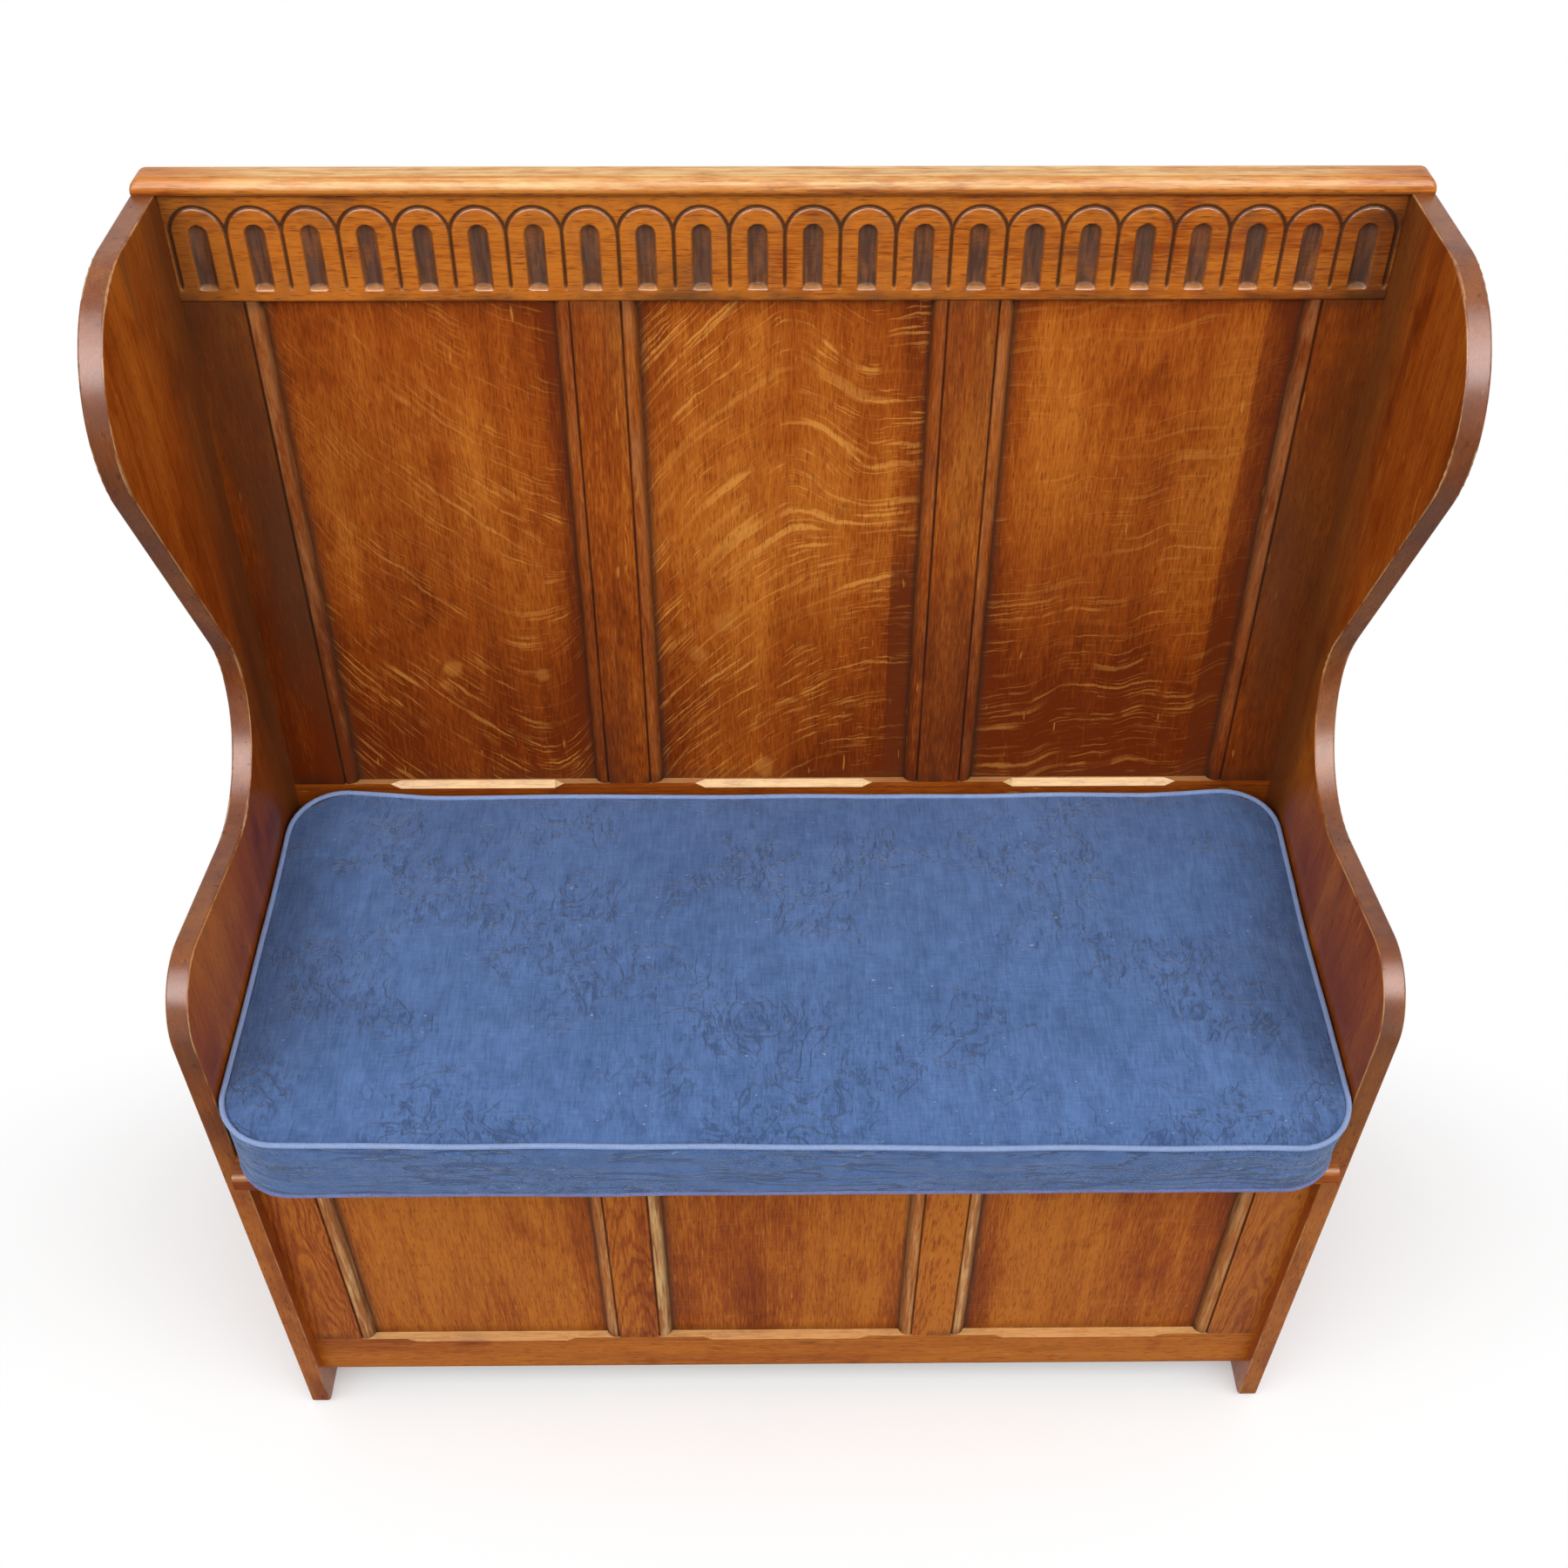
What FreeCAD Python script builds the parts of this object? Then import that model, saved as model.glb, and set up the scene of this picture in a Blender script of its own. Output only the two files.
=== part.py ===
import FreeCAD
import Part
import math
import os

from FreeCAD import Rotation, Vector

os.makedirs("parts", exist_ok=True)

# Overall sizes, in millimetres. X runs along the seat, Y from front to back, Z up.
overall_width = 1020.0
overall_height = 1182.0
overall_depth = 476.0
front_overhang = 46.0
side_thickness = 19.0
side_depth = overall_depth - front_overhang
half_width = overall_width / 2.0
inner_half = half_width - side_thickness
side_front_y = front_overhang - overall_depth / 2.0
side_back_y = side_front_y + side_depth
cap_thickness = 12.0
side_height = overall_height - cap_thickness

# Side board outline: three circles joined by their crossing tangents, in (depth, height).
arm_radius = 60.0
arm_centre = (arm_radius, 620.0)
waist_radius = 103.0
waist_centre = (212.0, 762.0)
wing_radius = 111.0
wing_centre = (312.0, side_height - wing_radius)
foot_corner_radius = 8.0
side_arris_radius = 2.0

# Seat level.
seat_top_z = 468.0
lid_thickness = 19.0
lid_underside_z = seat_top_z - lid_thickness
lid_front_depth = -26.0
lid_joint_depth = 314.0
lid_joint_gap = 1.6
lid_end_gap = 1.5
lid_nose_radius = 7.0
lid_under_radius = 3.0

# Panelled frames, shared by the back and the front of the box.
frame_thickness = 19.5
panel_recess = 8.0
panel_thickness = 8.0
groove_depth = 8.0
groove_ease = 0.2
panel_entry = 7.0
muntin_flat = 40.5
moulding_width = 13.5
quirk_width = 1.6
quirk_depth = 1.8
ovolo_drop = 0.5
tongue_length = 6.0
tongue_inset = 10.0
tongue_start = 5.0
tongue_end = 14.0
stub_half_width = 16.0
chamfer_size = 6.0
chamfer_stop_point = 29.0
chamfer_stop_length = 13.0

# Back frame: its face leans back by the rake about a line at seat level.
rake_degrees = 4.0
back_face_depth = 361.0
back_muntin_centre = 155.0
back_stile_flat = 50.3
back_rail_bottom_z = 438.0
back_rail_top_z = 572.0
frieze_bottom_z = 1080.5

# Front frame: upright, set back from the front edges of the sides.
front_recess = 14.0
front_muntin_centre = 152.0
front_stile_flat = 50.3
front_rail_bottom_z = 52.0
front_rail_top_z = 111.5
front_top_rail_bottom_z = 392.0

# Carved frieze: round-headed flutes inside incised arches.
arch_count = 22
arch_pitch = 44.3
arch_centre_z = 1136.0
carving_foot_z = 1090.0
flute_radius = 7.6
flute_axis_proud = 1.0
incision_half_width = 1.5
incision_depth = 1.7

# Capping.
cap_front_depth = 404.5
cap_round = 10.0
cap_corner_radius = 4.0

# Inside of the box.
lower_back_bottom_z = 52.0
lower_back_front = 8.0
lower_back_thickness = 9.0
floor_bottom_z = 74.0
floor_thickness = 9.0
floor_back_depth = 339.0
bearer_size = 18.0
bearer_front_depth = 36.0
floor_bearer_back_depth = 336.0
lid_bearer_size = 20.0
lid_bearer_back_depth = 356.0
fixed_seat_back_depth = 359.4
batten_centre = 330.0
batten_width = 40.0
batten_thickness = 15.0
batten_front_depth = 50.0
batten_back_depth = 300.0

# Butt hinges between the fixed seat strip and the lid.
hinge_centre = 330.0
hinge_length = 60.0
knuckle_count = 5
knuckle_gap = 0.4
knuckle_radius = 3.0
pin_radius = 1.5
pin_running_clearance = 0.05
leaf_thickness = 1.5
leaf_gap = 0.3
leaf_height = 12.5
knuckle_room = 3.4
hinge_end_room = 0.5
hinge_screw_spacing = 22.0
hinge_screw_drop = 11.0

# Screws.
screw_head_radius = 3.0
screw_head_depth = 1.5
screw_shank_radius = 1.5
hinge_screw_length = 14.0
bearer_screw_length = 30.0
batten_screw_length = 28.0
screw_edge_inset = 30.0

# Loose box cushion.
cushion_half_width = 487.5
cushion_gap = 0.3
cushion_back_depth = 360.0
cushion_top_z = 552.0
cushion_corner_radius = 55.0
piping_radius = 2.8
hinge_pocket_height = 4.0
hinge_pocket_half_width = 5.0
hinge_pocket_half_length = 33.0


def y_at(depth):
    """Model Y of a depth measured back from the front edges of the sides."""
    return side_front_y + depth


def box(x0, x1, y0, y1, z0, z1):
    return Part.makeBox(x1 - x0, y1 - y0, z1 - z0, Vector(x0, y0, z0))


def mirrored(shape):
    """The same piece on the other side of the middle of the seat."""
    return shape.mirror(Vector(0, 0, 0), Vector(1, 0, 0))


def export(name, shape):
    shape.exportStep("parts/" + name + ".step")


# Frame places: local X along the seat, local Y into the frame, local Z up its face.
def place_front(shape):
    moved = shape.copy()
    moved.translate(Vector(0, y_at(front_recess), 0))
    return moved


def place_back(shape):
    moved = shape.copy()
    moved.rotate(Vector(0, 0, 0), Vector(1, 0, 0), -rake_degrees)
    moved.translate(Vector(0, y_at(back_face_depth), seat_top_z))
    return moved


def up_back(height):
    """Distance up the leaning back face of a height above the floor."""
    return (height - seat_top_z) / math.cos(math.radians(rake_degrees))


# Side boards.
def crossing_tangent(centre_a, radius_a, centre_b, radius_b, side):
    """Ends of the tangent that crosses between two circles, leaving the first on the given side."""
    across = centre_b[0] - centre_a[0]
    up = centre_b[1] - centre_a[1]
    turn = math.asin((radius_a + radius_b) / math.hypot(across, up))
    angle = math.atan2(up, across) - side * turn
    left = (-math.sin(angle), math.cos(angle))
    start = (centre_a[0] + side * radius_a * left[0], centre_a[1] + side * radius_a * left[1])
    end = (centre_b[0] - side * radius_b * left[0], centre_b[1] - side * radius_b * left[1])
    return start, end


def outline_point(point):
    return Vector(0, y_at(point[0]), point[1])


def arc_edge(centre, radius, start, end, bulge_angle):
    """Arc between two outline points that passes the given angle, in degrees."""
    turn = math.radians(bulge_angle)
    middle = (centre[0] + radius * math.cos(turn), centre[1] + radius * math.sin(turn))
    arc = Part.Arc(outline_point(start), outline_point(middle), outline_point(end))
    return arc.toShape()


def line_edge(start, end):
    return Part.makeLine(outline_point(start), outline_point(end))


def side_outline():
    arm_start = (0.0, arm_centre[1])
    arm_end, waist_start = crossing_tangent(arm_centre, arm_radius, waist_centre, waist_radius, 1)
    waist_end, wing_start = crossing_tangent(
        waist_centre, waist_radius, wing_centre, wing_radius, -1)
    wing_end = (wing_centre[0], side_height)
    foot_start = (foot_corner_radius, 0.0)
    foot_end = (0.0, foot_corner_radius)
    foot_centre = (foot_corner_radius, foot_corner_radius)
    return Part.Wire([
        arc_edge(foot_centre, foot_corner_radius, foot_start, foot_end, 225.0),
        line_edge(foot_end, arm_start),
        arc_edge(arm_centre, arm_radius, arm_start, arm_end, 135.0),
        line_edge(arm_end, waist_start),
        arc_edge(waist_centre, waist_radius, waist_start, waist_end, -36.0),
        line_edge(waist_end, wing_start),
        arc_edge(wing_centre, wing_radius, wing_start, wing_end, 145.0),
        line_edge(wing_end, (side_depth, side_height)),
        line_edge((side_depth, side_height), (side_depth, 0.0)),
        line_edge((side_depth, 0.0), foot_start),
    ])


def is_front_arris(edge):
    """Long edges of the front profile, from the foot to the top of the wing."""
    if edge.BoundBox.XLength > 0.01:
        return False
    straight_back = edge.BoundBox.YMin > side_back_y - 0.01
    along_floor = edge.BoundBox.ZMax < 0.01
    return not straight_back and not along_floor


def side_board():
    board = Part.Face(side_outline()).extrude(Vector(side_thickness, 0, 0))
    board.translate(Vector(inner_half, 0, 0))
    arrises = [edge for edge in board.Edges if is_front_arris(edge)]
    return board.makeFillet(side_arris_radius, arrises)


# Panelled frames.
def rail(bottom, top):
    """Rail between the sides with a tongue at each end."""
    body = box(-inner_half, inner_half, 0, frame_thickness, bottom, top)
    reach = inner_half + tongue_length
    tongue = box(-reach, reach, tongue_start, tongue_end, bottom + tongue_inset, top - tongue_inset)
    return body.fuse(tongue).removeSplitter()


def rail_groove(edge_height, into):
    """Groove for the panels in the top edge (into = -1) or the bottom edge (into = 1) of a rail."""
    low = min(edge_height, edge_height + into * groove_depth)
    back = panel_recess + panel_thickness + groove_ease
    return box(-inner_half, inner_half, panel_recess - groove_ease, back, low, low + groove_depth)


def upright_section(flat_from, flat_to, plain_edge):
    """Plan section of a muntin, or of a stile where one edge stays plain."""
    def moulded_edge(edge, outward):
        inner = edge + outward * quirk_width
        outer = edge + outward * moulding_width
        bulge_x = inner + (outer - inner) * math.sin(math.radians(45))
        ovolo_depth = panel_recess - ovolo_drop - 0.6
        bulge_y = ovolo_drop + ovolo_depth * (1 - math.cos(math.radians(45)))
        groove_front = panel_recess - groove_ease
        groove_back = panel_recess + panel_thickness + groove_ease
        groove_end = outer - outward * groove_depth
        arc = Part.Arc(
            Vector(inner, ovolo_drop, 0),
            Vector(bulge_x, bulge_y, 0),
            Vector(outer, ovolo_drop + ovolo_depth, 0))
        before = [Vector(edge, 0, 0), Vector(edge, quirk_depth, 0),
                  Vector(inner, quirk_depth, 0), Vector(inner, ovolo_drop, 0)]
        after = [Vector(outer, ovolo_drop + ovolo_depth, 0), Vector(outer, groove_front, 0),
                 Vector(groove_end, groove_front, 0), Vector(groove_end, groove_back, 0),
                 Vector(outer, groove_back, 0), Vector(outer, frame_thickness, 0)]
        return before, arc, after

    edges = []

    def polyline(points):
        for start, end in zip(points[:-1], points[1:]):
            edges.append(Part.makeLine(start, end))

    before, arc, after = moulded_edge(flat_to, 1)
    polyline(before)
    edges.append(arc.toShape())
    polyline(after)
    right_back = after[-1]
    if plain_edge:
        corners = [right_back, Vector(flat_from, frame_thickness, 0), Vector(flat_from, 0, 0)]
        polyline(corners + [before[0]])
        return Part.Face(Part.Wire(edges))
    left_before, left_arc, left_after = moulded_edge(flat_from, -1)
    polyline([right_back, left_after[-1]])
    polyline(left_after[::-1])
    edges.append(left_arc.toShape())
    polyline(left_before[::-1])
    polyline([left_before[0], before[0]])
    return Part.Face(Part.Wire(edges))


def upright(section, bottom, top, stub_centre):
    """Muntin or stile between two rails, with a stub tenon at each end."""
    body = section.extrude(Vector(0, 0, top - bottom))
    body.translate(Vector(0, 0, bottom))
    entry = groove_depth - groove_ease
    stub = box(stub_centre - stub_half_width, stub_centre + stub_half_width, panel_recess,
               panel_recess + panel_thickness, bottom - entry, top + entry)
    return body.fuse(stub).removeSplitter()


def panel(left, right, bottom, top):
    return box(left - panel_entry, right + panel_entry, panel_recess,
               panel_recess + panel_thickness, bottom - panel_entry, top + panel_entry)


def solid_from(points, faces):
    shell = Part.makeShell([
        Part.Face(Part.makePolygon([points[i] for i in face + face[:1]])) for face in faces])
    solid = Part.makeSolid(shell)
    if solid.Volume < 0:
        solid.reverse()
    return solid


def stopped_chamfer(left, right, edge_height):
    """Cutter for a chamfer on a rail's front arris that runs out to a point at each end."""
    low, high = left + chamfer_stop_point, right - chamfer_stop_point
    inner_low, inner_high = low + chamfer_stop_length, high - chamfer_stop_length
    over = 1.0
    reach = chamfer_size + over
    points = [
        Vector(low, -over, edge_height + over), Vector(high, -over, edge_height + over),
        Vector(inner_low, reach, edge_height + over), Vector(inner_high, reach, edge_height + over),
        Vector(inner_low, -over, edge_height - reach), Vector(inner_high, -over, edge_height - reach),
    ]
    faces = [[0, 1, 3, 2], [0, 4, 5, 1], [2, 3, 5, 4], [0, 2, 4], [1, 5, 3]]
    return solid_from(points, faces)


def openings(stile_flat, muntin_centre):
    """Left and right edges of the three panel openings of a frame."""
    stile_edge = inner_half - stile_flat - moulding_width
    near = muntin_centre - muntin_flat / 2.0 - moulding_width
    far = muntin_centre + muntin_flat / 2.0 + moulding_width
    return {"left": (-stile_edge, -far), "centre": (-near, near), "right": (far, stile_edge)}


def frame_uprights_and_panels(place, prefix, stile_flat, muntin_centre, bottom, top):
    half_flat = muntin_flat / 2.0
    muntin = upright(
        upright_section(muntin_centre - half_flat, muntin_centre + half_flat, False),
        bottom, top, muntin_centre)
    stile = upright(
        upright_section(-inner_half, -inner_half + stile_flat, True),
        bottom, top, -inner_half + tongue_inset + stub_half_width)
    export(prefix + "_left_stile", place(stile))
    export(prefix + "_right_stile", place(mirrored(stile)))
    export(prefix + "_left_muntin", place(mirrored(muntin)))
    export(prefix + "_right_muntin", place(muntin))
    for name, (left, right) in openings(stile_flat, muntin_centre).items():
        export(prefix + "_" + name + "_panel", place(panel(left, right, bottom, top)))


def chamfered_bottom_rail(bottom, top, stile_flat, muntin_centre):
    piece = rail(bottom, top).cut(rail_groove(top, -1))
    for left, right in openings(stile_flat, muntin_centre).values():
        piece = piece.cut(stopped_chamfer(left, right, top))
    return piece


# Carved frieze.
def flute_cutter(centre_x):
    foot = up_back(carving_foot_z)
    centre = up_back(arch_centre_z)
    shaft = Part.makeCylinder(flute_radius, centre - foot, Vector(centre_x, -flute_axis_proud, foot))
    head = Part.makeSphere(flute_radius, Vector(centre_x, -flute_axis_proud, centre))
    return shaft.fuse(head)


def incision_profile(x, z):
    """V-shaped cut across the face, standing a little proud of it."""
    slope = incision_depth / incision_half_width
    over = 0.4
    half = incision_half_width + over / slope
    corners = [Vector(x - half, -over, z), Vector(x + half, -over, z), Vector(x, incision_depth, z)]
    return Part.Face(Part.makePolygon(corners + corners[:1]))


def arch_cutter(centre_x):
    centre_z = up_back(arch_centre_z)
    profile = incision_profile(centre_x + arch_pitch / 2.0, centre_z)
    return profile.revolve(Vector(centre_x, 0, centre_z), Vector(0, -1, 0), 180)


def shaft_cutter(x):
    foot = up_back(carving_foot_z)
    return incision_profile(x, foot).extrude(Vector(0, 0, up_back(arch_centre_z) - foot))


def frieze_rail():
    bottom = up_back(frieze_bottom_z)
    top = up_back(side_height)
    body = rail(bottom, top + frame_thickness).cut(rail_groove(bottom, 1))
    first = -(arch_count - 1) / 2.0 * arch_pitch
    for index in range(arch_count):
        body = body.cut(flute_cutter(first + index * arch_pitch))
        body = body.cut(arch_cutter(first + index * arch_pitch))
    for index in range(arch_count + 1):
        body = body.cut(shaft_cutter(first + (index - 0.5) * arch_pitch))
    placed = place_back(body)
    above = box(-half_width, half_width, side_front_y, side_back_y + frame_thickness,
                side_height, side_height + 3 * frame_thickness)
    return placed.cut(above)


def top_cap():
    cap = box(-half_width, half_width, y_at(cap_front_depth), side_back_y, side_height, overall_height)
    corners = [edge for edge in cap.Edges
               if edge.BoundBox.ZLength > cap_thickness - 0.01
               and edge.BoundBox.YMax < y_at(cap_front_depth) + 0.01]
    cap = cap.makeFillet(cap_corner_radius, corners)
    nosing = [edge for edge in cap.Edges
              if edge.BoundBox.ZMin > overall_height - 0.01
              and edge.BoundBox.YMin < side_back_y - 1.0]
    return cap.makeFillet(cap_round, nosing)


# Screws, made pointing along +Z from the centre of the head's face.
def screw(length, position, direction):
    head = Part.makeCone(screw_head_radius, screw_shank_radius, screw_head_depth)
    tip_length = 2.0 * screw_shank_radius
    shank = Part.makeCylinder(screw_shank_radius, length - screw_head_depth - tip_length,
                              Vector(0, 0, screw_head_depth))
    tip = Part.makeCone(screw_shank_radius, 0.0, tip_length, Vector(0, 0, length - tip_length))
    piece = head.fuse([shank, tip]).removeSplitter()
    piece.Placement = FreeCAD.Placement(position, Rotation(Vector(0, 0, 1), direction))
    return piece


def spaced(low, high, count):
    step = (high - low) / (count - 1)
    return [low + step * index for index in range(count)]


# Hinge parts, all along the joint line at the top of the seat.
def knuckle_spans(centre):
    span = hinge_length / knuckle_count
    start = centre - hinge_length / 2.0
    return [(start + index * span + knuckle_gap / 2.0, start + (index + 1) * span - knuckle_gap / 2.0)
            for index in range(knuckle_count)]


def hinge_leaf(centre, toward, bore_radius, spans):
    """Leaf let into an edge of the joint; toward is -1 on the lid and +1 on the fixed strip."""
    joint = y_at(lid_joint_depth)
    near = joint + toward * leaf_gap
    far = joint + toward * (leaf_gap + leaf_thickness)
    plate_top = seat_top_z - knuckle_room
    leaf = box(centre - hinge_length / 2.0, centre + hinge_length / 2.0, min(near, far), max(near, far),
               plate_top - leaf_height, plate_top)
    for start, end in spans:
        web = box(start, end, min(near, far), max(near, far), plate_top - 0.5, seat_top_z)
        barrel = Part.makeCylinder(knuckle_radius, end - start, Vector(start, joint, seat_top_z),
                                   Vector(1, 0, 0))
        leaf = leaf.fuse([web, barrel])
    bore = Part.makeCylinder(bore_radius, hinge_length + 2.0,
                             Vector(centre - hinge_length / 2.0 - 1.0, joint, seat_top_z), Vector(1, 0, 0))
    return leaf.removeSplitter().cut(bore)


def hinge_pin(centre):
    length = hinge_length - knuckle_gap
    start = Vector(centre - length / 2.0, y_at(lid_joint_depth), seat_top_z)
    return Part.makeCylinder(pin_radius, length, start, Vector(1, 0, 0))


def hinge_screws(centre, toward):
    y = y_at(lid_joint_depth) + toward * leaf_gap
    z = seat_top_z - hinge_screw_drop
    return [screw(hinge_screw_length, Vector(centre + offset * hinge_screw_spacing, y, z),
                  Vector(0, toward, 0)) for offset in (-1, 0, 1)]


def hinge_housing(centre, toward):
    """Wood cut away for one leaf and for the knuckles."""
    joint = y_at(lid_joint_depth)
    half = hinge_length / 2.0 + hinge_end_room
    leaf_back = joint + toward * (leaf_gap + leaf_thickness)
    room_back = joint + toward * knuckle_room
    plate_top = seat_top_z - knuckle_room
    leaf = box(centre - half, centre + half, min(joint, leaf_back), max(joint, leaf_back),
               plate_top - leaf_height, plate_top)
    knuckles = box(centre - half, centre + half, min(joint, room_back), max(joint, room_back),
                   plate_top, seat_top_z + 1.0)
    return leaf.fuse(knuckles)


# Seat.
def seat_lid():
    half = inner_half - lid_end_gap
    front = y_at(lid_front_depth)
    back = y_at(lid_joint_depth) - lid_joint_gap / 2.0
    lid = box(-half, half, front, back, lid_underside_z, seat_top_z)
    top_arris = [edge for edge in lid.Edges
                 if edge.BoundBox.YMax < front + 0.01 and edge.BoundBox.ZMin > seat_top_z - 0.01]
    lid = lid.makeFillet(lid_nose_radius, top_arris)
    under_arris = [edge for edge in lid.Edges
                   if edge.BoundBox.YMax < front + 0.01 and edge.BoundBox.ZMax < lid_underside_z + 0.01]
    return lid.makeFillet(lid_under_radius, under_arris)


def fixed_seat_strip():
    front = y_at(lid_joint_depth) + lid_joint_gap / 2.0
    return box(-inner_half, inner_half, front, y_at(fixed_seat_back_depth), lid_underside_z, seat_top_z)


def batten():
    half = batten_width / 2.0
    piece = box(batten_centre - half, batten_centre + half, y_at(batten_front_depth),
                y_at(batten_back_depth), lid_underside_z - batten_thickness, lid_underside_z)
    ends = [edge for edge in piece.Edges
            if edge.BoundBox.ZMax < lid_underside_z - batten_thickness + 0.01]
    return piece.makeChamfer(3.0, ends)


# Cushion.
def rounded_rectangle(half_x, y0, y1, radius, z):
    """Closed plan outline with round corners."""
    diagonal = radius * (1 - math.sqrt(0.5))
    left, right = -half_x, half_x
    edges = []
    sides = [((right, y0 + radius), (right, y1 - radius)), ((right - radius, y1), (left + radius, y1)),
             ((left, y1 - radius), (left, y0 + radius)), ((left + radius, y0), (right - radius, y0))]
    middles = [(right - diagonal, y1 - diagonal), (left + diagonal, y1 - diagonal),
               (left + diagonal, y0 + diagonal), (right - diagonal, y0 + diagonal)]
    for index, (start, end) in enumerate(sides):
        following = sides[(index + 1) % 4][0]
        edges.append(Part.makeLine(Vector(start[0], start[1], z), Vector(end[0], end[1], z)))
        edges.append(Part.Arc(Vector(end[0], end[1], z), Vector(middles[index][0], middles[index][1], z),
                              Vector(following[0], following[1], z)).toShape())
    return Part.Wire(edges)


def piping(half_x, y0, y1, radius, z):
    path = rounded_rectangle(half_x, y0, y1, radius, z)
    section = Part.Wire(Part.makeCircle(piping_radius, Vector(half_x, (y0 + y1) / 2.0, z), Vector(0, 1, 0)))
    start = Vector(half_x, (y0 + y1) / 2.0, z)
    halves = path.Edges[0].split(path.Edges[0].getParameterByLength(path.Edges[0].Length / 2.0))
    spine = Part.Wire([halves.Edges[1]] + path.Edges[1:] + [halves.Edges[0]])
    if spine.Edges[0].Vertexes[0].Point.distanceToPoint(start) > 0.01:
        raise ValueError("the piping must start at its section")
    return spine.makePipeShell([section], True, True)


def cushion_pieces():
    body_half = cushion_half_width - piping_radius
    front = y_at(-front_overhang) + piping_radius
    back = y_at(cushion_back_depth) - piping_radius
    low = seat_top_z + cushion_gap
    high = cushion_top_z - piping_radius
    outline = rounded_rectangle(body_half, front, back, cushion_corner_radius, low)
    body = Part.Face(outline).extrude(Vector(0, 0, high - low))
    top_piping = piping(body_half, front, back, cushion_corner_radius, high)
    bottom_piping = piping(body_half, front, back, cushion_corner_radius, low + piping_radius)
    body = body.cut(top_piping).cut(bottom_piping)
    joint = y_at(lid_joint_depth)
    for centre in (-hinge_centre, hinge_centre):
        body = body.cut(box(centre - hinge_pocket_half_length, centre + hinge_pocket_half_length,
                            joint - hinge_pocket_half_width, joint + hinge_pocket_half_width,
                            seat_top_z, seat_top_z + hinge_pocket_height))
    return body, top_piping, bottom_piping


# Back frame.
back_bottom = up_back(back_rail_bottom_z)
back_opening_bottom = up_back(back_rail_top_z)
back_opening_top = up_back(frieze_bottom_z)
frame_uprights_and_panels(
    place_back, "back", back_stile_flat, back_muntin_centre, back_opening_bottom, back_opening_top)
back_bottom_rail = chamfered_bottom_rail(
    back_bottom, back_opening_bottom, back_stile_flat, back_muntin_centre)
lower_groove_back = lower_back_front + lower_back_thickness
back_bottom_rail = back_bottom_rail.cut(
    box(-inner_half, inner_half, lower_back_front, lower_groove_back, back_bottom, back_bottom + groove_depth))
export("back_bottom_rail", place_back(back_bottom_rail))
export("frieze_rail", frieze_rail())
export("top_cap", top_cap())

lower_back_reach = inner_half + tongue_length
lower_back = place_back(box(
    -lower_back_reach, lower_back_reach, lower_back_front, lower_groove_back,
    up_back(lower_back_bottom_z), back_bottom + groove_depth - groove_ease))
shoulder = box(inner_half, half_width, lower_back_front, lower_groove_back, back_bottom,
               back_bottom + groove_depth)
lower_back = lower_back.cut(place_back(shoulder)).cut(place_back(mirrored(shoulder)))
export("lower_back_board", lower_back)

# Front frame.
frame_uprights_and_panels(
    place_front, "front", front_stile_flat, front_muntin_centre, front_rail_top_z, front_top_rail_bottom_z)
export("front_bottom_rail", place_front(chamfered_bottom_rail(
    front_rail_bottom_z, front_rail_top_z, front_stile_flat, front_muntin_centre)))
front_top_rail = rail(front_top_rail_bottom_z, lid_underside_z).cut(rail_groove(front_top_rail_bottom_z, 1))
export("front_top_rail", place_front(front_top_rail))


# Side boards with the housings for the rails' tongues and the lower back board.
def tongue_housing(bottom, top):
    return box(inner_half, inner_half + tongue_length, tongue_start, tongue_end,
               bottom + tongue_inset, top - tongue_inset)


def bearer(bottom, size, back_depth):
    return box(inner_half - size, inner_half, y_at(bearer_front_depth), y_at(back_depth),
               bottom, bottom + size)


def bearer_screws(bottom, size, back_depth):
    low = y_at(bearer_front_depth + screw_edge_inset)
    high = y_at(back_depth - screw_edge_inset)
    return [screw(bearer_screw_length, Vector(inner_half - size, y, bottom + size / 2.0), Vector(1, 0, 0))
            for y in spaced(low, high, 3)]


floor_bearer_bottom = floor_bottom_z - bearer_size
lid_bearer_bottom = lid_underside_z - lid_bearer_size
right_screws = bearer_screws(floor_bearer_bottom, bearer_size, floor_bearer_back_depth)
right_screws += bearer_screws(lid_bearer_bottom, lid_bearer_size, lid_bearer_back_depth)
screw_cutter = Part.makeCompound(right_screws)

housings = [
    place_front(tongue_housing(front_rail_bottom_z, front_rail_top_z)),
    place_front(tongue_housing(front_top_rail_bottom_z, lid_underside_z)),
    place_back(tongue_housing(back_bottom, back_opening_bottom)),
    place_back(tongue_housing(back_opening_top, up_back(side_height) + frame_thickness)),
    place_back(box(inner_half, lower_back_reach, lower_back_front, lower_groove_back,
                   up_back(lower_back_bottom_z), back_bottom)),
]
right_side = side_board()
for housing in housings:
    right_side = right_side.cut(housing)
right_side = right_side.cut(screw_cutter)
export("right_side", right_side)
export("left_side", mirrored(right_side))

floor_bearer = bearer(floor_bearer_bottom, bearer_size, floor_bearer_back_depth).cut(screw_cutter)
lid_bearer = bearer(lid_bearer_bottom, lid_bearer_size, lid_bearer_back_depth).cut(screw_cutter)
export("right_floor_bearer", floor_bearer)
export("left_floor_bearer", mirrored(floor_bearer))
export("right_seat_bearer", lid_bearer)
export("left_seat_bearer", mirrored(lid_bearer))
export("bearer_screws", Part.makeCompound(right_screws + [mirrored(piece) for piece in right_screws]))

floor_front = y_at(front_recess) + frame_thickness
export("box_floor", box(-inner_half, inner_half, floor_front, y_at(floor_back_depth),
                        floor_bottom_z, floor_bottom_z + floor_thickness))

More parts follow.
